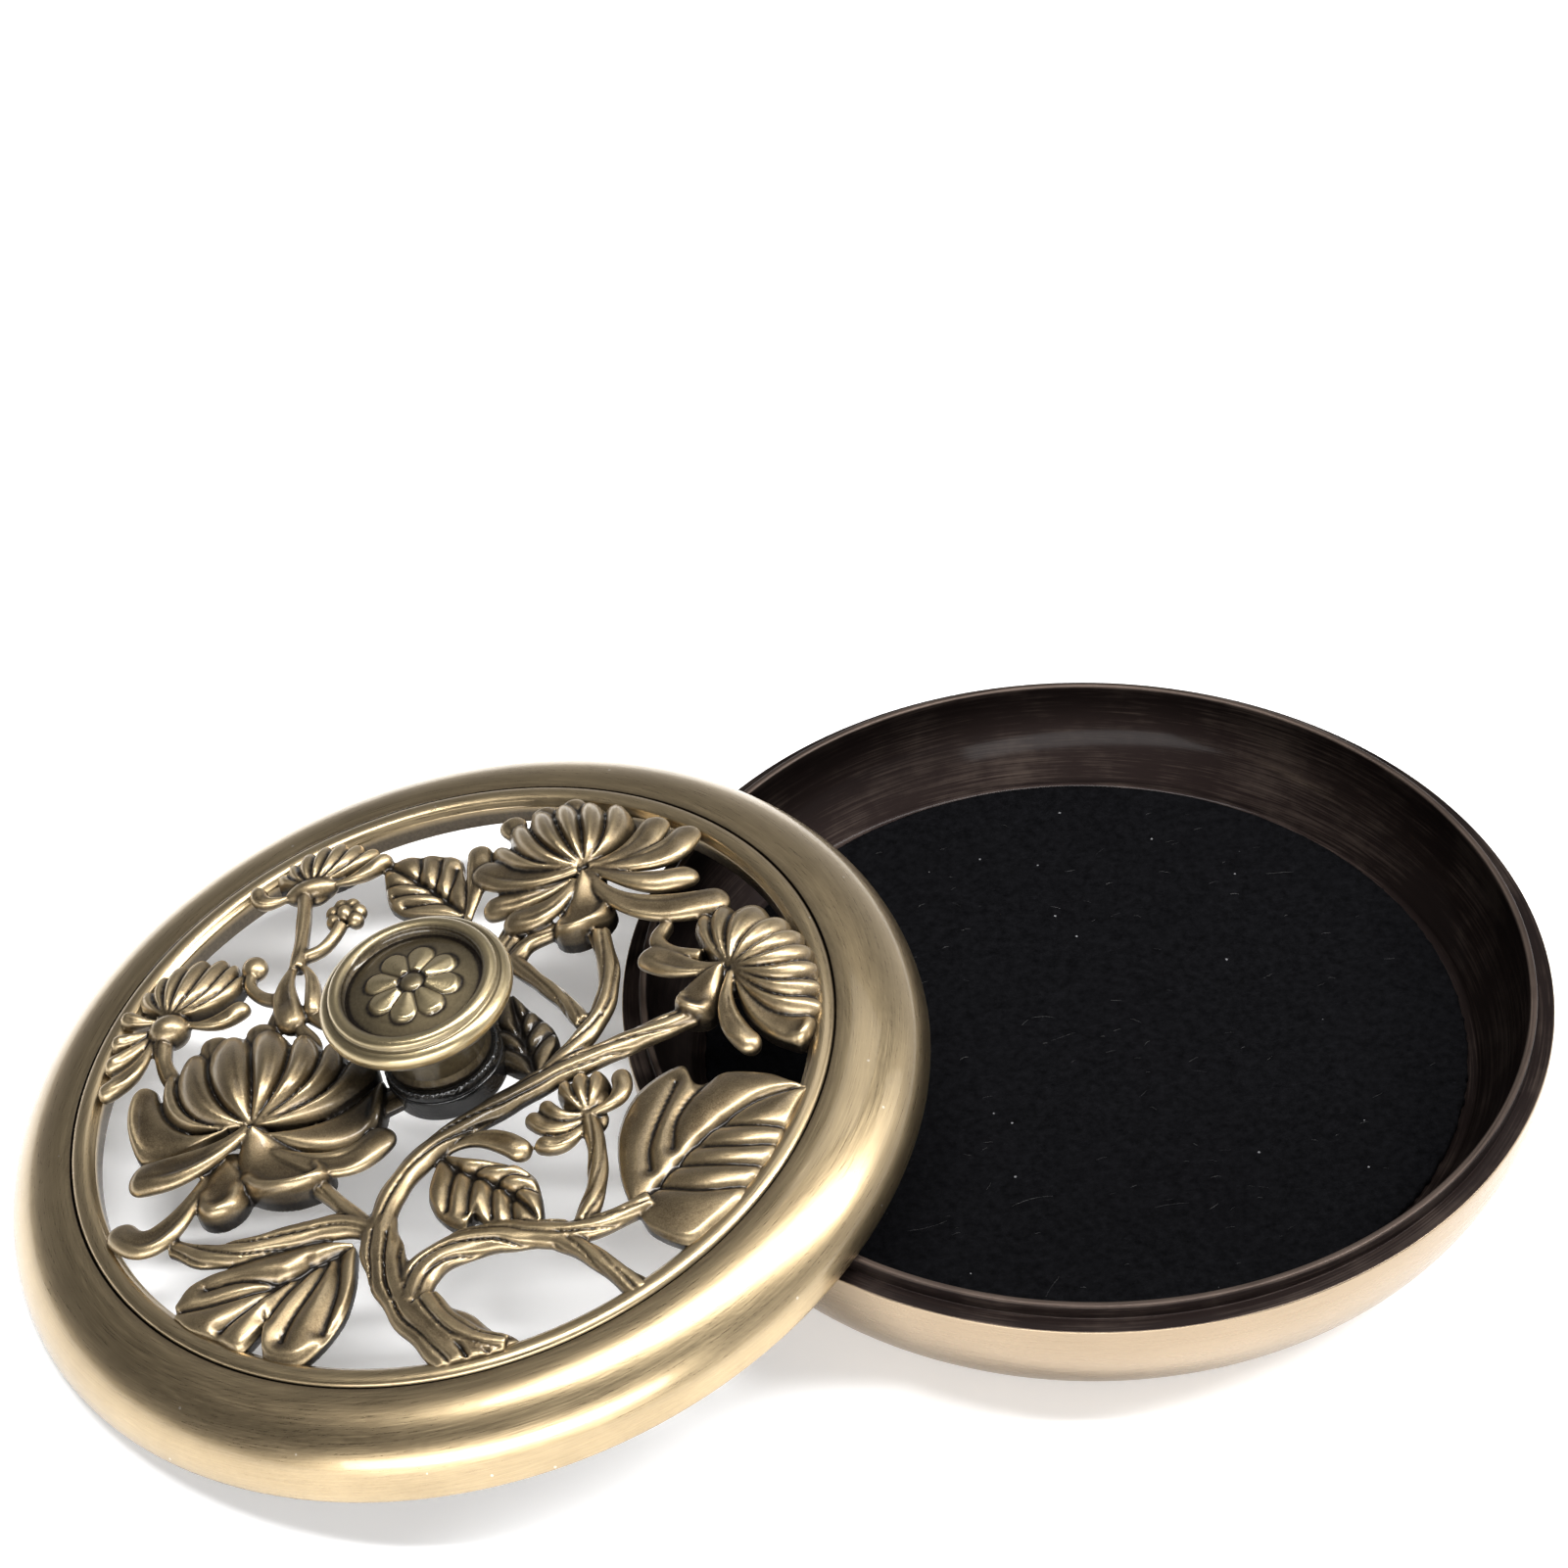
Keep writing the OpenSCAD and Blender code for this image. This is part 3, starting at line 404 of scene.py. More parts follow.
# light brushed plating outside; a dark brown coat with rubbed edges inside
def makeTrayMetal():
    material, tree, shader = newMaterial("trayMetal", Metallic=1.0, Coat_Roughness=0.12)
    point = readValue(tree, "castPoint", "Vector")
    coatMask = readValue(tree, "innerCoat")
    grain = placeGroup(tree, brushedGrain, Point=point, Line_Width=0.22, Line_Length=13.0, Slant=0.1)
    outside = placePatina(tree, point, grain["Lines"], **trayOutside)
    inside = placePatina(tree, point, grain["Lines"], **trayInside)
    feed(tree, shader, Base_Color=addMix(tree, coatMask, outside["Color"], inside["Color"]),
         Roughness=addUp(tree, (coatMask, 0.28), (outside["Roughness"], 1)),
         Coat_Weight=addMath(tree, "MULTIPLY", coatMask, 0.08))
    addBump(tree, shader, grain["Lines"], 0.3, 0.00001)
    return material


def makeFelt():
    material, tree, shader = newMaterial("blackFelt", Roughness=0.95, Specular_IOR_Level=0.025)
    point = readValue(tree, "castPoint", "Vector")
    stretch = tree.nodes.new("ShaderNodeMapping")
    stretch.inputs["Scale"].default_value = (0.55, 3.2, 1.0)
    stretch.inputs["Rotation"].default_value = (0, 0, math.radians(4))
    tree.links.new(point, stretch.inputs["Vector"])
    strands = addNoise(tree, stretch.outputs[0], 1.3, 6.0, 0.75)
    tufts = addNoise(tree, point, 0.9, 5.0, 0.7)
    shade = addMix(tree, addRange(tree, tufts, 0.3, 0.75), feltTones["low"], feltTones["high"])
    lit = addRange(tree, strands, 0.6, 0.82, 0.0, 0.5)
    flecks = placeGroup(tree, dustFlecks, Point=point, Rarity=0.94, Size=0.09)
    lint = addMath(tree, "MULTIPLY", flecks["Mask"], 0.6)
    withStrands = addMix(tree, lit, shade, feltTones["strand"])
    feed(tree, shader, Base_Color=addMix(tree, lint, withStrands, feltTones["lint"]))
    addBump(tree, shader, addUp(tree, (strands, 1), (tufts, 1)), 0.8, 0.0004)
    return material


def makeBlackLacquer():
    material, tree, shader = newMaterial("blackLacquer", Specular_IOR_Level=0.5)
    lumps = addNoise(tree, readValue(tree, "castPoint", "Vector"), 2.0, 4.0, 0.6)
    tone = addMix(tree, addRange(tree, lumps, 0.45, 0.8), (0.003, 0.003, 0.003), (0.009, 0.008, 0.008))
    feed(tree, shader, Base_Color=tone, Roughness=addRange(tree, lumps, 0.3, 0.8, 0.05, 0.16))
    addBump(tree, shader, lumps, 0.4, 0.00015)
    return material


def makeSteel():
    material, tree, shader = newMaterial("platedSteel", Metallic=1.0)
    where = tree.nodes.new("ShaderNodeTexCoord").outputs["Object"]
    fine = addNoise(tree, where, 2200.0, 3.0, 0.6)
    wide = addNoise(tree, where, 260.0, 3.0, 0.5)
    feed(tree, shader, Base_Color=addMix(tree, wide, (0.5, 0.5, 0.49), (0.68, 0.67, 0.64)),
         Roughness=addRange(tree, fine, 0.3, 0.7, 0.22, 0.38))
    addBump(tree, shader, fine, 0.2, 0.00002)
    return material


def makeLightFibre():
    material, tree, shader = newMaterial("lightFibre", Roughness=0.6)
    tone = addNoise(tree, readValue(tree, "castPoint", "Vector"), 0.35, 2.0, 0.5)
    feed(tree, shader, Base_Color=addMix(tree, addRange(tree, tone, 0.35, 0.75), (0.015, 0.015, 0.017),
                                         (0.2, 0.195, 0.19)))
    return material


lidBrass = makeBrushedBrass("lidBrass", 0.15, lidTones)
knobBrass = makeBrushedBrass("knobBrass", 0.11, knobTones)
castBrass = makeCastBrass()
trayMetal = makeTrayMetal()
blackFelt = makeFelt()
blackLacquer = makeBlackLacquer()
platedSteel = makeSteel()
lightFibre = makeLightFibre()
print("materials made")


def buildTray():
    t = tray
    spigot = t["ledgeRadius"] - t["ledgeWidth"]
    mouth = spigot - t["spigotThick"]
    top = t["ledgeHeight"] + t["spigotHeight"]
    foot = t["ledgeRadius"] - t["bowlRun"]
    footIn = foot - t["footWidth"]
    wall, wallTop = mouth - t["floorRadius"], top - 0.6
    outside = [(footIn, 0.0)] + arc(foot, t["ledgeHeight"], t["bowlRun"], t["ledgeHeight"], -90, 0, 40)
    lip = [(spigot, t["ledgeHeight"]), (spigot, top), (mouth, top)]
    inner = [(t["floorRadius"] + wall * math.cos(math.pi / 2 * (i / 24) ** 1.2),
              wallTop - (wallTop - t["floor"]) * i / 24) for i in range(1, 25)]
    under = [(0.0, t["floor"]), (0.0, t["recess"]), (footIn - t["recess"] * 0.4, t["recess"])]
    ease = [0.4, 0.4] + [0.0] * 39 + [0.28, 0.14, 0.38, 0.38] + [0.0] * 26 + [0.5]
    profile = finer(easeCorners(outside + lip + inner + under, ease), 1.4)
    profile = [(r if r > 0.01 else 0.0, z) for r, z in profile]
    # of the points on the axis only the floor's and the recess's middle stay
    clean = [p for i, p in enumerate(profile) if p[0] > 0 or profile[i - 1][0] > 0 or profile[i + 1][0] > 0]
    points, faces, radius, height = lathe(clean, t["segments"])
    onLedge = (radius < t["ledgeRadius"] - 0.12) & (height > t["ledgeHeight"] - 0.1)
    inside = onLedge | (radius < mouth + 0.2) & (height > t["floor"] - 0.05)
    crest = 0.5 * bump1(radius, spigot - 0.25, 0.3) * bump1(height, top, 0.25)
    crest += 0.75 * bump1(radius, mouth + 0.2, 0.28) * bump1(height, top, 0.25)
    crest += 0.4 * bump1(radius, t["ledgeRadius"], 0.2) * bump1(height, t["ledgeHeight"], 0.2)
    # painted shade: darker at the bottom edge by the floor and in the recess under the foot
    hollow = 0.5 * bump1(height, 0, 0.8) + 0.45 * ((height < 6) & (radius < footIn + 0.2))
    addPiece("trayShell", points, faces, "tray", "tray", trayMetal,
             {"innerCoat": inside.astype(float), "crest": crest, "hollow": hollow})


buildTray()
print("tray built")

mat = {"radius": 49.4, "low": 6.7, "thick": 1.5, "fuzz": 0.16, "rings": 110, "quickRings": 50,
       "segments": 360, "waves": ((11.0, 0.35), (4.3, 0.3), (1.7, 0.2), (0.8, 0.15)), "looseFibres": 120,
       "fibreRadius": 0.012, "fibreSteps": 7}


def buildMat():
    m = mat
    rng = np.random.default_rng(7)
    radii = np.linspace(0, m["radius"] - 0.35, m["rings"])
    profile = [(0.0, m["low"]), (m["radius"] - 0.2, m["low"]), (m["radius"], m["low"] + 0.3),
               (m["radius"], m["low"] + m["thick"] * 0.75)]
    profile += [(r, m["low"] + m["thick"]) for r in radii[::-1]]
    points, faces, radius, height = lathe(profile, m["segments"], closed=False)
    x, y = points[:, 0], points[:, 1]
    wave = np.zeros(len(points))
    for size, depth in m["waves"]:
        for _ in range(5):
            a = rng.uniform(0, math.pi)
            stretch = 1 + 1.6 * abs(math.cos(a))
            wave += depth / 5 * np.sin((x * math.cos(a) / stretch + y * math.sin(a)) * 2 * math.pi / size
                                       * rng.uniform(0.8, 1.25) + rng.uniform(0, 6.28))
    isTop = height > m["low"] + 1.0
    points[:, 2] -= np.where(isTop, m["fuzz"] * (0.5 + 0.5 * np.clip(wave * 2.2, -1, 1)), 0)
    turn = np.arctan2(y, x)
    ragged = 0.10 * np.sin(turn * 97 + 2 * np.sin(turn * 31)) + 0.08 * np.sin(turn * 211)
    points[:, :2] *= (1 - np.where(radius > m["radius"] - 0.3, 0.10 + ragged, 0) / m["radius"])[:, None]
    piece = addPiece("feltMat", points, faces, "tray", "fire_mat", blackFelt)


# short light hairs that lie on the felt, each a three-sided thread
def buildLooseFibres():
    m = mat
    rng = np.random.default_rng(21)
    steps = m["fibreSteps"]
    allPoints, allFaces = [], []
    for _ in range(m["looseFibres"]):
        reach = (m["radius"] - 4) * math.sqrt(rng.uniform(0, 1))
        turn = rng.uniform(0, 2 * math.pi)
        here = np.array([reach * math.cos(turn), reach * math.sin(turn)])
        heading = rng.normal(0, 0.35) + (math.pi if rng.uniform() < 0.5 else 0)
        length = rng.uniform(0.5, 1.6) if rng.uniform() < 0.93 else rng.uniform(2.5, 6.0)
        bend = rng.normal(0, 0.2)
        path = []
        for k in range(steps):
            lift = 0.1 * math.sin(math.pi * k / (steps - 1)) * rng.uniform(0.3, 1)
            path.append((*here, m["low"] + m["thick"] - 0.03 + lift))
            here = here + np.array([math.cos(heading), math.sin(heading)]) * length / (steps - 1)
            heading += bend / (steps - 1) * 2
        base = len(allPoints)
        for k, p in enumerate(path):
            ahead = np.array(path[min(k + 1, steps - 1)]) - np.array(path[max(k - 1, 0)])
            side = np.array([-ahead[1], ahead[0], 0]) / (np.linalg.norm(ahead[:2]) + 1e-9)
            thin = m["fibreRadius"] * (0.4 + 0.6 * math.sin(math.pi * (k + 0.5) / steps))
            for a in (0, 2 * math.pi / 3, 4 * math.pi / 3):
                corner = side * thin * math.cos(a) + np.array([0, 0, thin * math.sin(a)])
                allPoints.append(np.array(p) + corner)
        for k in range(base, base + (steps - 1) * 3, 3):
            allFaces += [[k + c, k + (c + 1) % 3, k + 3 + (c + 1) % 3, k + 3 + c] for c in range(3)]
        last = base + (steps - 1) * 3
        allFaces += [[base + 2, base + 1, base], [last, last + 1, last + 2]]
    addPiece("looseFibres", np.array(allPoints), allFaces, "tray", None, lightFibre)


buildMat()
buildLooseFibres()
print("mat built")


def buildRim():
    t, r = tray, rim
    curve = r["radius"] - r["run"]
    skirtIn = t["ledgeRadius"] - t["ledgeWidth"] + r["skirtGap"]
    rise = r["crown"] - r["belly"]
    shelfIn, shelfLow = r["bore"] - r["shelfWidth"], r["shelf"] - r["shelfThick"]
    innerWall = arc(curve, r["belly"], r["run"] - r["wall"], rise - r["wall"], 84, 22, 14)
    rough = [(skirtIn, 0.0), (t["ledgeRadius"], 0.0)] + arc(curve, r["belly"], r["run"], rise, 0, 90, 44) \
        + [(r["bore"], r["crown"]), (r["bore"], r["shelf"]), (shelfIn, r["shelf"]), (shelfIn, shelfLow),
           (r["bore"] + 0.6, shelfLow)] + [(min(x, skirtIn), z) for x, z in innerWall] \
        + [(skirtIn, t["spigotHeight"] + 0.5)]
    ease = [0.25, 0.3] + [0.0] * 45 + [0.14, 0.0, 0.15, 0.2, 0.3] + [0.0] * 15 + [0.3]
    points, faces, radius, height = lathe(finer(easeCorners(rough, ease), 1.2), r["segments"])
    # painted shade: dark in the groove by the bead ring, on the rim's inside and along the skirt's bottom
    # edge
    groove = np.clip(1.1 - (radius - r["bore"]) / 0.26, 0, 1) * (height > r["shelf"])
    outward = np.hypot(np.maximum(radius - curve, 0) / r["run"], (height - r["belly"]) / rise)
    inner = 0.55 * ((outward < 0.93) & (radius < skirtIn + 0.05) & (height < r["crown"] - 0.9))
    skirt = 0.35 * bump1(height, 0, 0.5)
    skirt += 0.16 * np.clip((r["belly"] - height) / 1.6, 0, 1) * (radius > curve)
    crest = 0.25 * bump1(radius, r["bore"] + 0.9, 0.5) * (height > r["crown"] - 0.6)
    addPiece("rimShell", points, faces, "lid", "lid_rim", lidBrass,
             {"hollow": np.clip(groove + inner + skirt, 0, 1), "crest": crest})


buildRim()
print("rim built")

# The sprig is drawn in the lid's plane: x and y in mm from the lid's middle, z above the rim's crown.
sprig = {"voxel": 0.2, "quickVoxel": 0.32, "ringIn": 46.6, "pressIn": 1.7, "back": -1.1}
solids = []


# a smooth run through the given points; each row may hold more than a place
def spline(points, count):
    p = np.array(points, float)
    if len(p) == 2:
        t = np.linspace(0, 1, count)[:, None]
        return p[0] * (1 - t) + p[1] * t
    ends = np.vstack([2 * p[0] - p[1], p, 2 * p[-1] - p[-2]])
    out = []
    for u in np.linspace(0, len(p) - 1 - 1e-9, count):
        k = int(u)
        t = u - k
        a, b, c, d = ends[k:k + 4]
        out.append(0.5 * (2 * b + (c - a) * t + (2 * a - 5 * b + 4 * c - d) * t ** 2
                          + (3 * b - 3 * c + d - a) * t ** 3))
    return np.array(out)


# the curve that leaves a, passes m half way and ends at c
def through(a, m, c, t):
    a, m, c = (np.array(v, float) for v in (a, m, c))
    b = 2 * m - (a + c) / 2
    t = t[:, None]
    return (1 - t) ** 2 * a + 2 * t * (1 - t) * b + t * t * c


def smoothStep(value, low, high):
    s = np.clip((value - low) / (high - low), 0, 1)
    return s * s * (3 - 2 * s)


def sideways(path):
    ahead = np.gradient(path[:, :2], axis=0)
    ahead /= np.linalg.norm(ahead, axis=1)[:, None] + 1e-9
    return np.stack([-ahead[:, 1], ahead[:, 0]], 1)


def distanceTo(places, line):
    best = np.full(len(places), 1e9)
    run = spline(line, 20)
    for a, b in zip(run, run[1:]):
        d = b - a
        s = np.clip(((places - a) @ d) / (d @ d), 0, 1)
        best = np.minimum(best, np.linalg.norm(places - a - s[:, None] * d, axis=1))
    return best


# grid[i][k] is a closed run of points round section i; the ends are closed with fans
def addTube(grid):
    rows, around = grid.shape[:2]
    faces = []
    for low in range(0, (rows - 1) * around, around):
        for k in range(around):
            n = (k + 1) % around
            faces.append([low + k, low + around + k, low + around + n, low + n])
    first = rows * around
    points = np.vstack([grid.reshape(-1, 3), grid[0].mean(0), grid[-1].mean(0)])
    for k in range(around):
        n = (k + 1) % around
        faces.append([first, k, n])
        faces.append([first + 1, (rows - 1) * around + n, (rows - 1) * around + k])
    solids.append((points, faces))


# a raised surface (rows from root to tip, columns from left to right) closed by a flat back
def addSheet(top):
    rows, cols = top.shape[:2]
    under = top.copy()
    under[:, :, 2] = sprig["back"]
    size = rows * cols
    faces = []
    for v in (i * cols + k for i in range(rows - 1) for k in range(cols - 1)):
        faces.append([v, v + 1, v + cols + 1, v + cols])
        faces.append([size + v, size + v + cols, size + v + cols + 1, size + v + 1])
    edge = [i * cols for i in range(rows)] + [(rows - 1) * cols + k for k in range(1, cols)] \
        + [i * cols + cols - 1 for i in range(rows - 2, -1, -1)] + list(range(cols - 2, 0, -1))
    faces += [[a, b, size + b, size + a] for a, b in zip(edge, edge[1:] + edge[:1])]
    solids.append((np.vstack([top.reshape(-1, 3), under.reshape(-1, 3)]), faces))


def rollOver(pitHeight, peak, t):
    rise = pitHeight + (peak - pitHeight) * np.sin(np.pi * np.minimum(t, 0.5))
    fall = 0.5 + (peak - 0.5) * np.sqrt(np.maximum(0, 1 - np.abs(2 * t - 1) ** 2.4))
    return np.where(t < 0.5, rise, fall)


# Domed petals side by side that leave the pit and roll over, with a valley between neighbours.
# Each edge is x, y and peak half way, then x and y at the outline, from left to right.
def addHead(pit, edges, valley=1.7, out=0.3, cells=12):
    t = 1 - (1 - np.linspace(0.0, 1, 30)) ** 1.5
    t[0] = 0.02
    columns = []
    for k, (left, right) in enumerate(zip(edges, edges[1:])):
        leftRun = through(pit[:2], left[:2], left[3:], t)
        rightRun = through(pit[:2], right[:2], right[3:], t)
        local = np.linalg.norm(leftRun - rightRun, axis=1)
        tipWidth = np.linalg.norm(np.subtract(left[3:], right[3:]))
        away = np.add(left[3:], right[3:]) - np.add(left[:2], right[:2])
        away = away / np.linalg.norm(away)
        for i in range(cells + (k == len(edges) - 2)):
            v = i / cells
            u = 2 * v - 1
            peak = left[2] * (1 - v) + right[2] * v + 0.5 * (1 - u * u)
            reach = out * tipWidth * math.sin(math.pi * v) * t ** 6
            place = leftRun * (1 - v) + rightRun * v + reach[:, None] * away
            height = rollOver(pit[2], peak, t)
            height -= np.minimum(valley, 0.62 * local) * (1 - math.sqrt(max(0, 1 - u * u)))
            height -= 0.16 * bump1(u, 0.3, 0.16) * np.sin(np.pi * t) * np.minimum(1, local / 3)
            columns.append(np.column_stack([place, height]))
    addSheet(np.stack(columns, 1))


# A cupped petal: its face dips before a thick round lip. Each side is (x, y) half way and (x, y) at its end.
def addLobe(pit, left, right, out, dish, lip, lipWidth=0.8, rows=44, cols=45):
    t = 1 - (1 - np.linspace(0, 1, rows)) ** 1.4
    t[0] = 0.03
    leftRun = through(pit[:2], left[0], left[1], t)
    rightRun = through(pit[:2], right[0], right[1], t)
    away = np.add(left[1], right[1]) - np.add(left[0], right[0])
    away = away / np.linalg.norm(away)
    across = np.sin(np.linspace(-0.5, 0.5, cols) * math.pi)
    bulge = out * np.outer(t ** 3, np.sqrt(np.maximum(1 - across ** 2, 0)))
    share = (1 + across)[None, :, None] / 2
    place = leftRun[:, None] * (1 - share) + rightRun[:, None] * share + bulge[:, :, None] * away
    inside = np.linalg.norm(place[:, :, None] - place[-1][None, None], axis=3).min(2)
    face = (pit[2] + (dish - pit[2]) * smoothStep(t, 0.0, 0.7))[:, None]
    rise = np.where(inside > lipWidth, bump1(inside, lipWidth, 0.75 * lipWidth), 1)
    height = face * (1 - rise) + lip * rise * (1 - 0.25 * across ** 2)
    overTip = np.sqrt(np.clip(1 - np.clip(1 - inside / lipWidth, 0, 1) ** 2.4, 0, 1))
    overSide = 0.3 + 0.7 * np.sqrt(np.maximum(0, 1 - np.abs(across) ** 3.2))
    addSheet(np.dstack([place, 0.1 + (height - 0.1) * overTip * overSide]))


# A thick petal that widens from its root and ends round. dish hollows its face; a crease runs along it.
def addPetal(root, middle, tip, half, dish=0.0, up=1.2, down=1.1, crease=0.22):
    rows, around = 40, 30
    t = 1 - (1 - np.linspace(0, 1, rows)) ** 1.6
    path = through(root, middle, tip, t)
    gone = np.concatenate([[0], np.cumsum(np.linalg.norm(np.diff(path[:, :2], axis=0), axis=1))])
    where = (gone / gone[-1])[:, None]
    cap = np.clip((gone - (gone[-1] - half * 0.95)) / (half * 0.95), 0, 1)[:, None]
    s = (0.34 + 0.66 * smoothStep(where, 0.0, 0.72)) * np.sqrt(np.maximum(1 - cap ** 2, 0.0009))
    q = np.arange(around) / around * 2 * math.pi
    v = np.cos(q)
    arch = np.sqrt(np.maximum(1 - v * v, 0))
    top = arch * up * (1 + 0.25 * bump1(where, 0.8, 0.15)) * np.minimum(1, s + 0.1)
    top = top - bump1(where, 0.55, 0.24) * dish * np.clip(1 - ((v + 0.15) / 0.62) ** 2, 0, 1)
    top -= crease * bump1(v, 0.35, 0.16) * np.sin(math.pi * np.minimum(1, where * 1.05))
    height = np.where(np.sin(q) >= 0, top, -down * arch * np.minimum(1, s + 0.15))
    place = path[:, None, :2] + sideways(path)[:, None] * (half * s * v)[:, :, None]
    addTube(np.dstack([place, path[:, None, 2] + height]))


def addBall(place, size, rows=14, around=20):
    a = math.pi * (np.arange(rows) + 0.5) / rows
    b = 2 * math.pi * np.arange(around) / around
    unit = np.dstack([np.outer(np.sin(a), np.cos(b)), np.outer(np.sin(a), np.sin(b)),
                      np.outer(-np.cos(a), np.ones(around))])
    addTube(np.array(place) + unit * np.array(size))


# points: rows of x, y, z and half width. Bark furrows wind slowly along it.
def addBranch(points, up, down, bark, turns, seed):
    length = np.linalg.norm(np.diff(np.array(points, float)[:, :2], axis=0), axis=1).sum()
    rows = max(10, int(length / 0.25))
    path = spline(points, rows)
    hasBark = bark > 0.05
    q = np.linspace(0, 2 * math.pi, 96 if hasBark else 32, endpoint=False)
    run = np.linspace(0, length, rows)[:, None]
    half = path[:, 3:4]
    s = half / max(np.mean([p[3] for p in points]), 0.5)
    wide = half * np.cos(q) * (1 + 0.05 * np.sin(run * 1.1 + seed) * hasBark)
    phase = np.cos(q) * (0.55 + 0.3 * half) + run * 0.05 * turns + 0.22 * np.sin(run * 0.28 + seed) + seed
    furrow = np.maximum(0, np.cos(2 * math.pi * phase)) ** 3.5
    patch = 0.72 + 0.28 * np.sin(run * 0.35 + np.cos(q) * 2.2 + seed * 2)
    high = np.where(np.sin(q) > 0, up * (0.55 + 0.45 * s), down) * np.sin(q)
    high -= np.where(np.sin(q) > 0.1, 1.8 * bark * furrow * patch * np.minimum(1, half / 1.5), 0)
    place = path[:, None, :2] + sideways(path)[:, None] * wide[:, :, None]
    addTube(np.dstack([place, path[:, None, 2] + high]))


# rows: midrib, left edge and right edge from stalk to tip. veins: lines that are sunk into the face,
# which swells between them.
def addLeaf(rows, veins, z, camber, swell, cut, midrib, reach):
    run = spline(rows, 110)
    t = np.linspace(0, 1, 110)
    v = np.linspace(-1, 1, 61)
    w = np.abs(v)
    edge = np.where(v[None, :, None] > 0, run[:, None, 2:4], run[:, None, 4:6])
    place = run[:, None, 0:2] * (1 - w)[None, :, None] + edge * w[None, :, None]
    fade = (np.sin(math.pi * np.clip(t, 0.02, 0.98)) ** 0.45)[:, None]
    bow = 1 - (2 * np.clip(w, 0, 0.96) - 0.96) ** 2
    flat = place.reshape(-1, 2)
    nearVein = np.min([distanceTo(flat, vein) for vein in veins], axis=0).reshape(place.shape[:2])
    nearRib = distanceTo(flat, run[::6, 0:2]).reshape(place.shape[:2])
    height = z * (0.4 + 0.6 * fade) + camber * bow * fade
    height -= swell * bump1(nearVein, 0, reach) + cut * bump1(nearVein, 0, 0.32)
    height -= midrib * bump1(nearRib, 0, 0.42) * fade + 0.75 * smoothStep(w, 0.9, 1.0)
    addSheet(np.dstack([place, np.maximum(height, 0.0)])[:, ::-1])  # from the left edge to the right


def addFlower(parts):
    pit = parts["pit"]
    addBall((pit[0], pit[1], 0.2), (2.4, 2.4, pit[2] - 0.4))
    addHead(pit, parts["head"], parts.get("valley", 1.7))
    for lobe in parts.get("lobes", []):
        addLobe(*lobe)
    for petal in parts["petals"]:
        addPetal(*petal)
    for ball in parts.get("balls", []):
        addBall(*ball)


# Petals: root, middle, tip, half width, dish, height
flowerLeft = {
    "pit": (-25.4, -1.8, 3),
    "head": [(-34.9, 2.6, 2.2, -36.2, 11.4), (-33, 2.8, 3.8, -33.9, 13.2), (-29.2, 4.4, 4.9, -29.4, 14.4),
             (-24.1, 5, 5.3, -23.9, 14.6), (-20.2, 3.8, 5.1, -18.9, 12.3), (-17.2, 1.6, 4.7, -15.2, 9.7),
             (-15.5, -0.4, 3.9, -12.2, 6.8), (-15.2, -3, 2.8, -8.6, 1.5)],
    "lobes": [
        ((-24.2, -3.4, 2.8), ((-15.2, -3.2), (-8.6, 1)), ((-17.4, -8.2), (-10.2, -7.2)), 1.2, 1.9, 2.4),
        ((-25, -2.6, 3.9), ((-21.2, -5.8), (-16.8, -10.4)), ((-28.4, -5.6), (-28, -10.6)),
         4.8, 1.9, 3.8, 1.2),
        ((-29.4, -4.6, 2), ((-27.4, -8.4), (-27.4, -11.4)), ((-33, -7.4), (-34.3, -10.8)),
         3.4, 1.9, 2.8, 1.3),
        ((-28.2, -1.2, 3.2), ((-34.6, -1.6), (-40.4, 0)), ((-34.4, 2), (-37.2, 11.6)), 3.4, 2.2, 3)],
    "balls": [((-29.6, -5.8, 0), (3.4, 2.8, 1.8))],
    "petals": [((-25.8, -2.4, 3), (-34, -5, 2.4), (-42, -3, 0.8), 2.6, 0.7, 1.4),
               ((-24.5, -5, 1.8), (-15.6, -11.4, 1.4), (-8.8, -7.8, 0.9), 2.2, 0.5),
               ((-31.5, -5.6, 1.2), (-39.4, -14.6, 1.5), (-44.6, -9.8, 0.4), 2.1, 0.5),
               ((-29, 10, 1), (-28.9, 13, 1.6), (-28.3, 17.2, 0.4), 2.1),
               ((-23, 10, 1), (-22.8, 13, 1.6), (-22.4, 17, 0.4), 2)]}

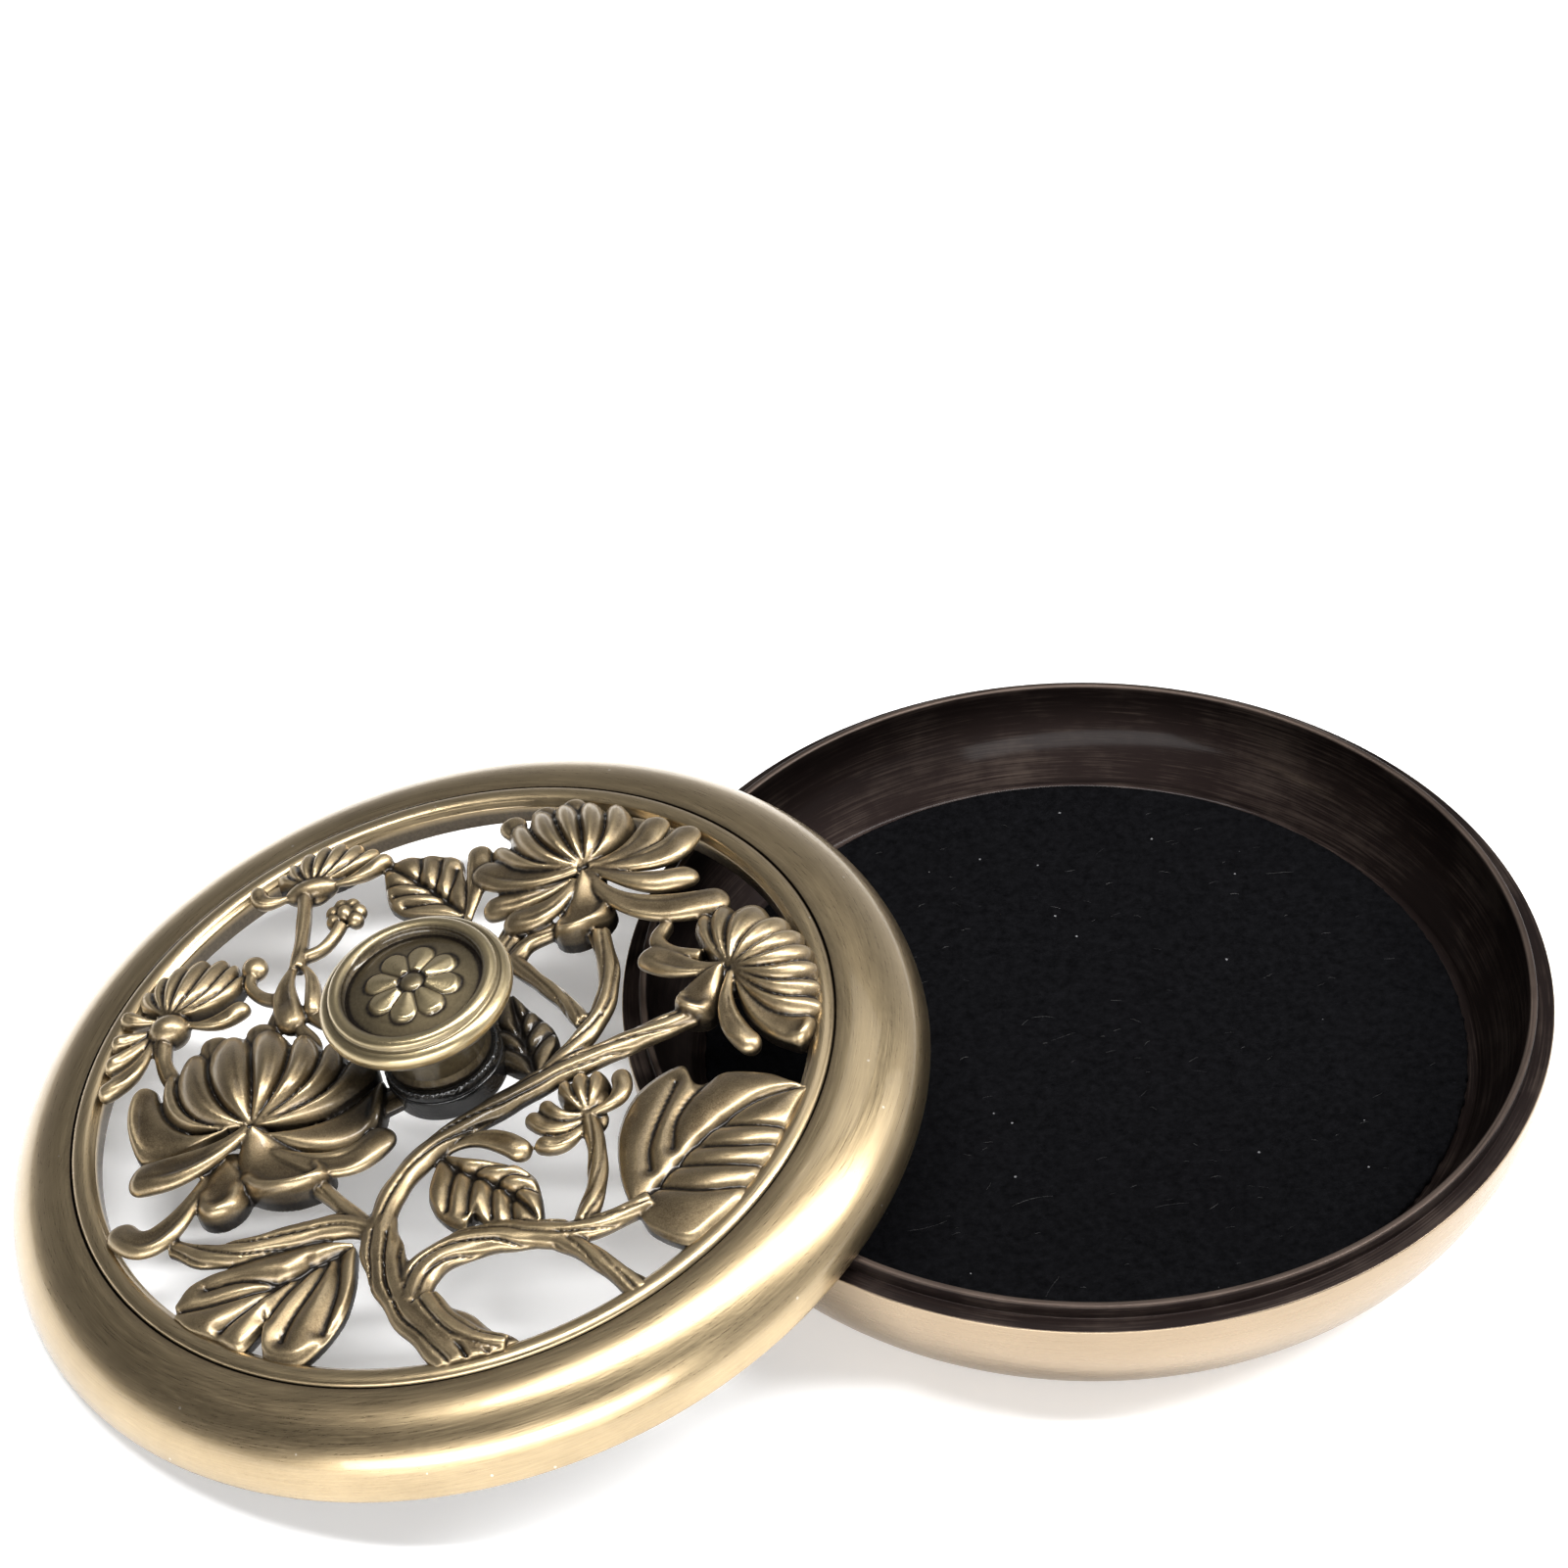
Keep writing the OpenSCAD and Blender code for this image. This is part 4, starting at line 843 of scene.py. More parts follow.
flowerTop = {
    "pit": (22.9, 25.2, 3.2),
    "head": [(15.7, 27.2, 3.2, 10.9, 32.9), (17, 27.6, 4.4, 13.8, 35.5), (18.7, 29.4, 5, 17, 38),
             (21.3, 30.4, 5.1, 20.5, 38.4), (23.7, 30, 4.9, 23.9, 37.7), (26.3, 29, 4.3, 27.2, 36.6),
             (28.3, 28, 3, 30.6, 33.8)],
    "lobes": [
        ((22.7, 24.2, 3.9), ((24.9, 20.4), (25.3, 17.6)), ((19.2, 20.6), (17, 17.5)), 3.6, 2.2, 3.8, 0.9)],
    "petals": [((22, 25, 3), (14.6, 26.9, 2.3), (9, 32.6, 0.8), 2.3, 0.5, 1.3),
               ((23.6, 25.1, 2.9), (29.8, 26.2, 2.2), (33.6, 32, 0.6), 2.1, 0.3),
               ((24, 24.7, 2.7), (33, 23.8, 2), (37, 28.8, 0.5), 2.2, 0.3),
               ((24, 24.2, 2.7), (31, 19.4, 2), (36.6, 20.2, 0.7), 1.8),
               ((23, 24.3, 2.8), (28.6, 16, 1.9), (39.9, 13.6, 0.7), 2.3, 0.3),
               ((21.4, 23.3, 2.8), (16.6, 20, 2.1), (11, 21.2, 1), 2, 0.2),
               ((20.8, 24.4, 2), (15, 24.2, 1.2), (8.6, 25.2, 0.3), 2),
               ((15.8, 34, 0.8), (15.2, 36.8, 1.4), (14.8, 40.1, 0.4), 1.9),
               ((20.1, 34, 0.8), (19.5, 36.8, 1.4), (19.1, 40.2, 0.4), 1.9),
               ((24, 34, 0.8), (23.4, 36.8, 1.4), (23, 39.9, 0.4), 1.9)]}

flowerRight = {
    "pit": (37.6, -0.2, 2.8), "valley": 1.2,
    "head": [(35.2, 4.4, 2.2, 34.3, 10), (36.4, 5.4, 3.2, 37.2, 11.4), (38.3, 5.4, 3.8, 40.4, 10.6),
             (40.6, 3.4, 4.2, 44.4, 6.9), (42, 1.2, 4.2, 46.2, 3.8), (42.6, -0.9, 4.2, 47.2, 0.8),
             (42.8, -3.1, 4, 47.6, -2.2), (42.3, -5.3, 3.6, 47.4, -5.2), (41.8, -6.9, 3, 46.9, -8),
             (40.6, -8.2, 2.2, 46, -11)],
    "lobes": [((37.9, -2, 2.6), ((41, -8), (45.8, -11)), ((38.5, -9), (43, -14.8)), 1.2, 1.6, 2.2),
              ((37, -0.2, 3.8), ((35.6, -3), (34, -5.8)), ((33.2, 0.6), (29.9, -1.8)), 2, 2.6, 3.6)],
    "petals": [((37.6, -1.1, 2.5), (35.9, -7.6, 1.6), (38.3, -13.4, 0.4), 1.6, 0.3),
               ((36.9, 0.6, 2.4), (31.8, 2.9, 2), (27.4, 8.4, 0.8), 2.1, 0.5)]}

flowerSide = {
    "pit": (-34.2, 23, 1.8), "valley": 1,
    "head": [(-36.6, 25.4, 1.3, -38, 27.8), (-35.8, 26.6, 1.6, -35.7, 29.7), (-34.5, 26.8, 2.1, -33.4, 31.4),
             (-32.8, 26.5, 2.5, -30.6, 31.7), (-31, 25.5, 2.6, -27.6, 31.1), (-29.3, 24.4, 2.5, -25.2, 29.9),
             (-28.4, 23.2, 2.3, -24.3, 27.6), (-28, 22.2, 1.9, -24, 25.2)],
    "balls": [((-34.4, 20.9, 0.9), (2.8, 2.3, 2.5))],
    "petals": [((-31.8, 21, 1.2), (-27.8, 19.7, 1.2), (-23.8, 21.6, 0.7), 1.3, 0.3),
               ((-36, 23.4, 1), (-38.6, 24.6, 1), (-40.2, 26.2, 0.5), 1.2),
               ((-36.6, 21.8, 1), (-39.9, 21.3, 1.1), (-42.2, 21.8, 0.6), 1.2),
               ((-36.6, 21, 1), (-40.6, 18.4, 1.1), (-43.5, 18, 0.6), 1.2),
               ((-36.8, 20, 1), (-39.8, 15.4, 1.1), (-44.8, 13.6, 0.5), 1.35, 0.3)]}

flowerStalk = {
    "pit": (-12.6, 39, 1.6), "valley": 0.9,
    "head": [(-15.4, 40.2, 1.3, -17.3, 41.4), (-15, 41, 1.6, -15.8, 43.9), (-14, 41.5, 1.9, -14, 44.7),
             (-12.3, 41.9, 2.2, -11.3, 45.5), (-10.8, 41.6, 2.3, -9.1, 45.7), (-9.2, 40.9, 2.3, -6.9, 44.8),
             (-8.2, 40, 2, -4.9, 43.3), (-7.4, 39.3, 1.6, -3.1, 42)],
    "balls": [((-12.9, 38.7, 0.7), (3.7, 1.7, 1.9))],
    "petals": [((-15.8, 38.6, 1), (-19.4, 39, 1.1), (-19.8, 42.2, 0.5), 1.2, 0.2),
               ((-9.8, 38.6, 1), (-6, 38.3, 1.2), (-1.8, 40.5, 0.7), 1.15, 0.2)]}

flowerBud = {
    "pit": (15.9, -16.4, 1.8), "valley": 1.2,
    "head": [(13.7, -13.8, 2.6, 12.6, -10.8), (14.9, -13.2, 3, 14.9, -9.6), (16.8, -13.2, 3, 17.2, -9.4),
             (18.4, -14, 2.4, 19.4, -10.6)],
    "balls": [((16, -13.6, 0.8), (3, 3.2, 1.8))],
    "petals": [((16, -16.4, 1.6), (20.2, -15.2, 1.8), (20.8, -10.6, 0.9), 1.3, 0.2),
               ((15.6, -16.2, 1.6), (12.6, -15.4, 1.8), (10.9, -12.2, 1), 1.1),
               ((15.6, -16.8, 1.4), (11.6, -17, 1.5), (8.8, -13.2, 0.8), 1.2, 0.2),
               ((15.8, -17.2, 1.2), (12.2, -19.6, 1.3), (9, -17.8, 0.7), 1.2, 0.2)]}

# Branches: points of x, y, z and half width, then up, down, bark, turns and seed
branches = [
    ([(-16.2, 26.8, 0.8, 0.9), (-13.2, 27.2, 0.8, 0.85), (-11.2, 28.9, 0.8, 0.85),
      (-9.9, 30.8, 0.8, 0.9)], 1, 1, 0, 2.2, 0),
    ([(-19.4, 20.2, 0.8, 1), (-21.7, 21.9, 0.8, 0.9), (-23, 24.4, 0.8, 0.85),
      (-22.4, 27, 0.8, 0.8)], 1, 1, 0, 2.2, 0),
    ([(-18.8, 20.4, 0.6, 1), (-20.8, 16.5, 0.4, 1.1), (-22, 12, 0.3, 1.2)], 1, 1, 0.1, 2.2, 3),
    ([(-17.8, 15, 0.4, 1), (-16.5, 11.5, 0.4, 1.2), (-16.5, 8, 0.4, 1.2)], 1, 1, 0.1, 2.2, 4),
    ([(-16, 16.4, 0.4, 1), (-11.5, 11.8, 0.4, 1.4), (-5, 5, 0.3, 1.6)], 1, 1.1, 0.15, 2.2, 5),
    ([(-13.9, 38, 0.9, 1.1), (-14.6, 34, 0.9, 1), (-15.6, 29, 0.9, 1.05),
      (-16.6, 25, 0.9, 1.2)], 1.2, 1.2, 0.15, 2.2, 2),
    ([(-35.6, 19.2, 0.8, 1.3), (-35.7, 15.2, 0.4, 1.2), (-34.4, 10.5, 0.2, 1.3)], 1.1, 1.1, 0.12, 2.2, 1),
    ([(34.5, 4.4, 1.4, 0.9), (30.9, 6.6, 1.3, 1.15), (29.6, 9.6, 1.2, 1.1),
      (31.4, 12.5, 0.8, 0.8)], 0.9, 1.6, 0, 2.2, 0),
    ([(-2.6, -49.6, -0.7, 5.2), (-5.9, -44.2, 0.2, 4), (-9.3, -39, 0.6, 3.2), (-11.4, -33, 0.7, 2.9),
      (-12.3, -27.5, 0.8, 2.7), (-12.2, -22.5, 0.8, 2.4)], 1.6, 1.5, 0.5, 1.6, 0.3),
    ([(-8.6, -37.5, 0.9, 2.2), (-6, -42.4, 0.8, 2.1), (-3, -45.6, 0.6, 1.7),
      (0.4, -47.4, 0.4, 1.2)], 1.5, 1.5, 0.4, 1.4, 0.9),
    ([(-12.4, -24.5, 0.8, 1.9), (-9.8, -19, 0.9, 1.75), (-5.4, -14.6, 0.9, 1.8), (0.5, -11.6, 0.9, 1.85),
      (7, -9.4, 0.9, 1.9), (13, -7.6, 0.9, 1.85), (20, -6.4, 0.9, 1.7), (26, -5.6, 1, 1.65),
      (31.5, -4.7, 1, 1.6)], 1.4, 1.4, 0.4, 1.2, 0.7),
    ([(-12, -24, 0.8, 1.5), (-16.5, -21.3, 0.9, 1.8), (-22, -20.7, 0.9, 1.9), (-29, -20.4, 0.8, 1.9),
      (-34, -19, 0.6, 1.7), (-37.8, -15.8, 0.3, 1.2)], 1.3, 1.3, 0.4, 1.6, 1.2),
    ([(-12.8, -23.6, 0.8, 1.4), (-15, -20, 0.8, 1.15), (-18.4, -14, 0.8, 1.2)], 1.2, 1.2, 0.2, 2.2, 1.9),
    ([(-10.3, -37, 0.6, 2.8), (-8, -32.6, 0.7, 2.5), (-3.6, -30.6, 0.8, 2.4), (2, -30.8, 0.8, 2.3),
      (6, -32, 0.8, 2.1), (10, -33.3, 0.8, 1.8)], 1.5, 1.5, 0.48, 1.6, 2.4),
    ([(5, -31.6, 0.8, 2), (10, -33.6, 0.8, 1.8), (15, -33.8, 0.8, 1.5),
      (21, -32.6, 0.8, 1.3)], 1.3, 1.4, 0.35, 1.2, 3.1),
    ([(7.5, -32.4, 0.8, 1.6), (11, -36, 0.7, 1.4), (14.2, -40.4, 0.4, 1.35),
      (17.8, -45.8, -0.7, 1.7)], 1.2, 1.4, 0.35, 1.6, 3.8),
    ([(12.4, -32.8, 0.8, 1.4), (14.8, -28, 0.8, 1.3), (16, -22, 0.9, 1.25),
      (15.9, -16, 1, 1.2)], 1.2, 1.3, 0.35, 2, 4.4),
    ([(12.5, -7, 0.9, 1.5), (16.8, -3.4, 0.8, 1.5), (20.6, 1, 0.8, 1.45), (22.6, 7, 0.8, 1.4),
      (22.6, 14.4, 0.9, 1.4)], 1.3, 1.3, 0.38, 1.8, 5.2),
    ([(18, 0, 0.7, 1.2), (15.9, 5.4, 0.6, 1.15), (13.2, 10.4, 0.5, 1.2),
      (10.8, 14.8, 0.4, 1.3)], 1.2, 1.2, 0.3, 1.8, 5.9),
    ([(10.8, 14.2, 0.4, 1.3), (13.4, 16.8, 0.5, 1.2), (18.4, 17.8, 0.6, 1.2)], 1.1, 1.1, 0.15, 2.2, 6.3),
    ([(5, 3.5, 0.4, 2.2), (7.2, 11, 0.3, 1.8), (11.4, 19.4, 0.3, 1.6),
      (17.5, 24.8, 0.6, 1.3)], 1.1, 1.2, 0.25, 2.2, 6.8),
    ([(-6, -2, 0.3, 2.2), (-9, -3.4, 0.5, 1.8), (-13, -4, 0.8, 1.6)], 1.1, 1.2, 0.1, 2.2, 7.2)]

loosePetals = [((-16.8, 25.8, 0.8), (-18.6, 20.4, 1.5), (-18.2, 14.2, 0.5), 1.9, 0.7),
               ((-16.2, 25.6, 0.8), (-14.9, 21.4, 1.4), (-15.9, 15.8, 0.5), 1.2),
               ((-2.4, -14.4, 0.6), (3, -14.9, 1.3), (7.6, -19.4, 0.8), 1.6, 0.4),
               ((6.4, 24.8, 0.4), (8.8, 30.6, 1.1), (10, 37, 0.5), 1.7, 0.4)]

# Leaves: rows of x and y on the midrib, the left edge and the right edge; then the veins; then the look
leaves = [
    ([(18.8, -32.7, 18.3, -32, 19, -33.5), (20.6, -31.5, 17.9, -26.5, 20.2, -37),
      (22.6, -30, 19, -19.5, 24.2, -40.8), (25.2, -27.9, 22.5, -14, 27.6, -39.6),
      (28, -25.8, 28.4, -11.8, 31.2, -37.2), (30.4, -24.4, 29.8, -15.6, 34, -34),
      (33, -23.1, 33.8, -15.4, 37, -30.8), (36.4, -21.9, 38.6, -17.8, 39.2, -27.4),
      (40, -21.8, 41, -20.2, 41.4, -24), (42.6, -22, 42.7, -21.8, 42.7, -22.2)],
     [[(22.3, -30.7), (27.3, -33.7), (33.7, -35)], [(25.4, -28.4), (30, -30.6), (34.6, -32.2)],
      [(28.7, -26.6), (33, -28.6), (37.3, -29.6)], [(32, -24.4), (35.4, -26), (38.8, -27.4)],
      [(21.7, -27.7), (22.7, -23.3), (27.3, -15.3)], [(25, -25.4), (26.6, -21), (31.4, -16)]],
     {"z": 1, "camber": 0.9, "swell": 0.4, "cut": 0.45, "midrib": 0.6, "reach": 1.2}),
    ([(-15.6, -24.6, -15.4, -25.2, -15.8, -24), (-18, -25.2, -16.6, -31, -18.5, -22.9),
      (-20.5, -25.9, -19.2, -36.2, -21, -22.4), (-23, -26.6, -24.4, -40.2, -24, -22.2),
      (-25.4, -27, -28.8, -37.4, -27, -22), (-27.4, -27.2, -27.6, -32.8, -29, -22),
      (-29.6, -27.3, -31.4, -35.6, -31.5, -22), (-32, -27.3, -34.6, -32.6, -34, -22),
      (-35, -27.1, -37.4, -30, -36.6, -22.8), (-38.5, -26.5, -38.9, -27.2, -38.6, -25.2)],
     [[(-25.2, -27.1), (-29, -29.4), (-33.4, -31.7)], [(-21.2, -25.8), (-24.6, -28.9), (-27.4, -32.3)],
      [(-19.4, -26.2), (-21.2, -29.3), (-24.4, -33.4), (-26.3, -36.3)],
      [(-17.8, -26), (-18.6, -31), (-21.2, -36.8)], [(-26, -26.6), (-30, -25), (-34.4, -24.4)]],
     {"z": 0.9, "camber": 1, "swell": 0.7, "cut": 0.45, "midrib": 0.6, "reach": 1.15}),
    ([(-3, -14.8, -2.5, -14.6, -3.5, -15.2), (-1.9, -16.8, 0.5, -16.6, -5.6, -20.4),
      (-0.4, -18.6, 3.4, -18.2, -4.6, -24.6), (1.4, -20.4, 5.8, -19.8, -2.2, -27.3),
      (3, -22.2, 7.7, -22.2, -0.6, -26), (4.6, -24.4, 8, -25, 1, -28), (6, -27, 7.9, -27.8, 4, -29.4),
      (7.2, -29.8, 7.5, -29.6, 6.6, -30)],
     [[(-1.6, -17.4), (-2.6, -20.4), (-3.6, -23.8)], [(0.4, -19.4), (-0.4, -22.4), (-1.2, -25.4)],
      [(2.6, -21.9), (2, -24.6), (1.6, -27.2)], [(4.6, -24.6), (4.2, -26.6), (4, -28.6)],
      [(0.2, -19), (2.6, -19), (4.6, -19.8)], [(2.8, -21.8), (5, -21.6), (7, -22.4)],
      [(4.4, -24.2), (6, -24.2), (7.6, -25)]],
     {"z": 0.9, "camber": 1, "swell": 0.6, "cut": 0.4, "midrib": 0.5, "reach": 0.9}),
    ([(6, 26, 5.4, 25.8, 6.6, 26.4), (4.9, 28, 1.4, 27.6, 7.4, 30), (3.8, 30.1, -1.4, 29.2, 7.4, 33.6),
      (2.6, 32.2, -3.2, 31.6, 7.2, 36.4), (1.2, 34.2, -3.5, 34.4, 4.8, 38.2),
      (-0.4, 36.4, -3.4, 37, 1.4, 39.6), (-2.2, 38.6, -3.2, 38.2, -1.6, 39.6)],
     [[(4.4, 29), (1.6, 29.6), (-1.2, 30.4)], [(3.2, 31.2), (0.6, 32), (-2.4, 33)],
      [(1.6, 33.6), (-0.6, 34.6), (-2.8, 35.4)], [(4.2, 29.6), (5.6, 32), (6.4, 34.2)],
      [(2.8, 32), (4, 34.4), (4.6, 36.8)], [(1, 34.8), (1.8, 36.6), (2, 38.6)]],
     {"z": 0.9, "camber": 0.8, "swell": 0.5, "cut": 0.35, "midrib": 0.5, "reach": 1}),
    ([(10.6, -6.4, 10.2, -6.4, 11, -6.4), (10.4, -3.6, 7.6, -3.8, 13.2, -3.4),
      (10.2, -1.4, 6.3, -1.8, 14.3, -1.4), (10, 1.2, 6.5, 1.4, 14, 1.4), (9.9, 4, 6.9, 4.2, 12.7, 4),
      (9.8, 6.6, 8, 6.8, 11.3, 6.5), (9.8, 9, 9.5, 9, 10.1, 9)],
     [[(10.3, -2.4), (12, -1), (13.6, 0.4)], [(10.1, 0.6), (11.6, 2), (13, 3.4)],
      [(10, 3.4), (11, 4.8), (12, 6)], [(10.3, -2.4), (8.8, -1), (7, 0.6)],
      [(10, 0.8), (8.6, 2.4), (7.2, 3.8)]],
     {"z": 0.6, "camber": 0.8, "swell": 0.5, "cut": 0.35, "midrib": 0.5, "reach": 0.9})]

curls = {"ring": (-9.1, 32.3, 0.6), "ringRadius": 1.75, "ringBalls": 6, "bud": (-22.1, 27.6, 0.8)}


def addCurls():
    x, y, z = curls["ring"]
    addBall((x, y, z + 0.1), (1.2, 1.4, 1.6))
    for k in range(curls["ringBalls"]):
        a = math.radians(50 * k - 50)
        place = (x + curls["ringRadius"] * math.cos(a), y + curls["ringRadius"] * math.sin(a), z)
        addBall(place, (1.15, 1.15, 1.25))
    addBall(curls["bud"], (1.8, 1.9, 1.5))


def joinSolids():
    points, faces, base = [], [], 0
    for p, f in solids:
        points.append(p)
        faces.extend([[i + base for i in face] for face in f])
        base += len(p)
    points = np.vstack(points)
    # ends that would pass the bead ring are pressed back into it
    reach = np.hypot(points[:, 0], points[:, 1])
    limit = sprig["ringIn"] + sprig["pressIn"]
    points[:, :2] *= np.where(reach > limit, limit / np.maximum(reach, 1e-6), 1)[:, None]
    return points, faces


# one skin round the overlapping solids, as in a casting
def castTogether(points, faces, voxel):
    mesh = bpy.data.meshes.new("pattern")
    mesh.from_pydata(points.tolist(), [], faces)
    holder = bpy.data.objects.new("pattern", mesh)
    bpy.context.scene.collection.objects.link(holder)
    skin = holder.modifiers.new("skin", "REMESH")
    skin.mode = "VOXEL"
    skin.voxel_size = voxel
    done = bpy.data.meshes.new_from_object(holder.evaluated_get(bpy.context.evaluated_depsgraph_get()))
    bpy.data.objects.remove(holder)
    bpy.data.meshes.remove(mesh)
    co = np.zeros(len(done.vertices) * 3, np.float32)
    done.vertices.foreach_get("co", co)
    newFaces = [list(p.vertices) for p in done.polygons]
    bpy.data.meshes.remove(done)
    return co.reshape(-1, 3).astype(float), newFaces


def buildSprig():
    for flower in (flowerLeft, flowerTop, flowerRight, flowerSide, flowerStalk, flowerBud):
        addFlower(flower)
    addCurls()
    for branch in branches:
        addBranch(*branch)
    for petal in loosePetals:
        addPetal(*petal)
    for rows, veins, look in leaves:
        addLeaf(rows, veins, **look)
    voxel = sprig["voxel"]
    points, faces = castTogether(*joinSolids(), voxel)
    edges, _ = measureMesh(points, faces)
    points = 0.5 * points + 0.5 * neighbourMean(points, edges)
    _, normals = measureMesh(points, faces)
    near, wide, broad = meshRelief(points, edges, normals, (3, 16, 60))
    scale = (sprig["voxel"] / voxel) ** 0.5
    near, wide = near * scale, wide * scale
    points[:, 2] += rim["crown"]
    print("sprig points:", len(points))
    # patina in the hollows from the relief; then painted shade on the low parts, the steep flanks and round
    # the knob
    hollow = np.clip(near * 13, 0, 0.8) + np.clip(wide * 4.5 - 0.02, 0, 0.9)
    hollow += np.clip(broad * 1.6 - 0.04, 0, 0.8)
    hollow += 0.75 * np.clip((rim["crown"] + 1.0 - points[:, 2]) / 1.8, 0, 1)
    hollow += 0.7 * np.clip((0.5 - np.abs(normals[:, 2])) / 0.4, 0, 1)  # painted shade on the steep flanks
    hollow += 0.8 * np.clip((18.0 - np.hypot(points[:, 0], points[:, 1])) / 6, 0, 1)  # and painted shadow of the knob round the middle
    crest = np.clip(-near * 6, 0, 0.4) + np.clip(-wide * 3, 0, 0.5) + np.clip(-broad * 0.9, 0, 0.3)
    addPiece("sprigCasting", points, faces, "lid", "openwork", castBrass,
             {"hollow": np.clip(hollow, 0, 1), "crest": crest})


buildSprig()
print("sprig built")

bead = {"outer": 49.7, "inner": 46.6, "round": 1.3, "low": 6.1, "top": 9.9, "segments": 320}
boss = {"radius": 7.7, "low": 8.3, "high": 11.7, "hole": 2.25, "segments": 128}
collar = {"hole": 2.3, "radius": 7.6, "low": 11.7, "high": 13.1, "beadRadius": 7.35, "segments": 288,
          "lumps": 26}
knob = {"radius": 12.4, "stem": 6.7, "low": 13.1, "height": 13.2, "lip": 1.5, "segments": 256,
        "petals": 8, "petalReach": 6.3, "petalNotch": 1.7, "button": 1.45, "relief": 0.5}


def buildBead():
    b = bead
    mid, shoulder = b["outer"] - b["round"], b["top"] - 0.75
    rough = [(b["inner"], b["low"]), (b["outer"], b["low"]), (b["outer"], shoulder)] \
        + arc(mid, shoulder, b["round"] - 0.04, 0.75, 8, 165, 18) + [(b["inner"], b["top"] - 1.0)]
    profile = finer(easeCorners(rough, [0.2, 0.2, 0.05] + [0.0] * 19 + [0.25]), 0.7)
    points, faces, radius, height = lathe(profile, b["segments"])
    # painted shade in the narrow gap beside the rim and on the ring's lower part
    hollow = np.clip((radius - b["outer"] + 0.12) / 0.12, 0, 1) + np.clip((8.8 - height) / 1.2, 0, 0.8)
    crest = 0.35 * bump1(radius, mid - 0.2, 0.7) * (height > 9.2)
    addPiece("beadRing", points, faces, "lid", "openwork", lidBrass,
             {"hollow": np.clip(hollow, 0, 1), "crest": crest})


def buildBoss():
    b = boss
    rough = [(b["hole"], b["low"]), (b["radius"], b["low"]), (b["radius"], b["high"]), (b["hole"], b["high"])]
    points, faces, _, _ = lathe(finer(easeCorners(rough, [0.1, 0.5, 0.35, 0.1]), 0.5), b["segments"])
    addPiece("knobBoss", points, faces, "lid", "openwork", blackLacquer)


# the collar's upper edge is a little lumpy, as set lacquer is
def buildCollar():
    c = collar
    rng = np.random.default_rng(5)
    rough = [(c["hole"], c["low"]), (c["radius"], c["low"]), (c["radius"], c["low"] + 0.75),
             (c["beadRadius"], c["high"]), (c["hole"], c["high"])]
    profile = finer(easeCorners(rough, [0.1, 0.2, 0.3, 0.25, 0.1]), 0.16)
    points, faces, radius, height = lathe(profile, c["segments"])
    turn = np.arctan2(points[:, 1], points[:, 0])
    onEdge = np.clip((height - c["low"] - 0.7) / 0.25, 0, 1) * (radius > 6.4)
    lump = np.zeros(len(points))
    for _ in range(c["lumps"]):
        lump += np.sin(turn * rng.integers(20, 130) + height * rng.uniform(-9, 9) + rng.uniform(0, 6.28))
    grow = 1 + onEdge * np.clip(lump / c["lumps"] * 0.55, -0.12, 0.1) / np.maximum(radius, 1)
    points[:, :2] *= grow[:, None]
    addPiece("blackCollar", points, faces, "lid", "knob_collar", blackLacquer)


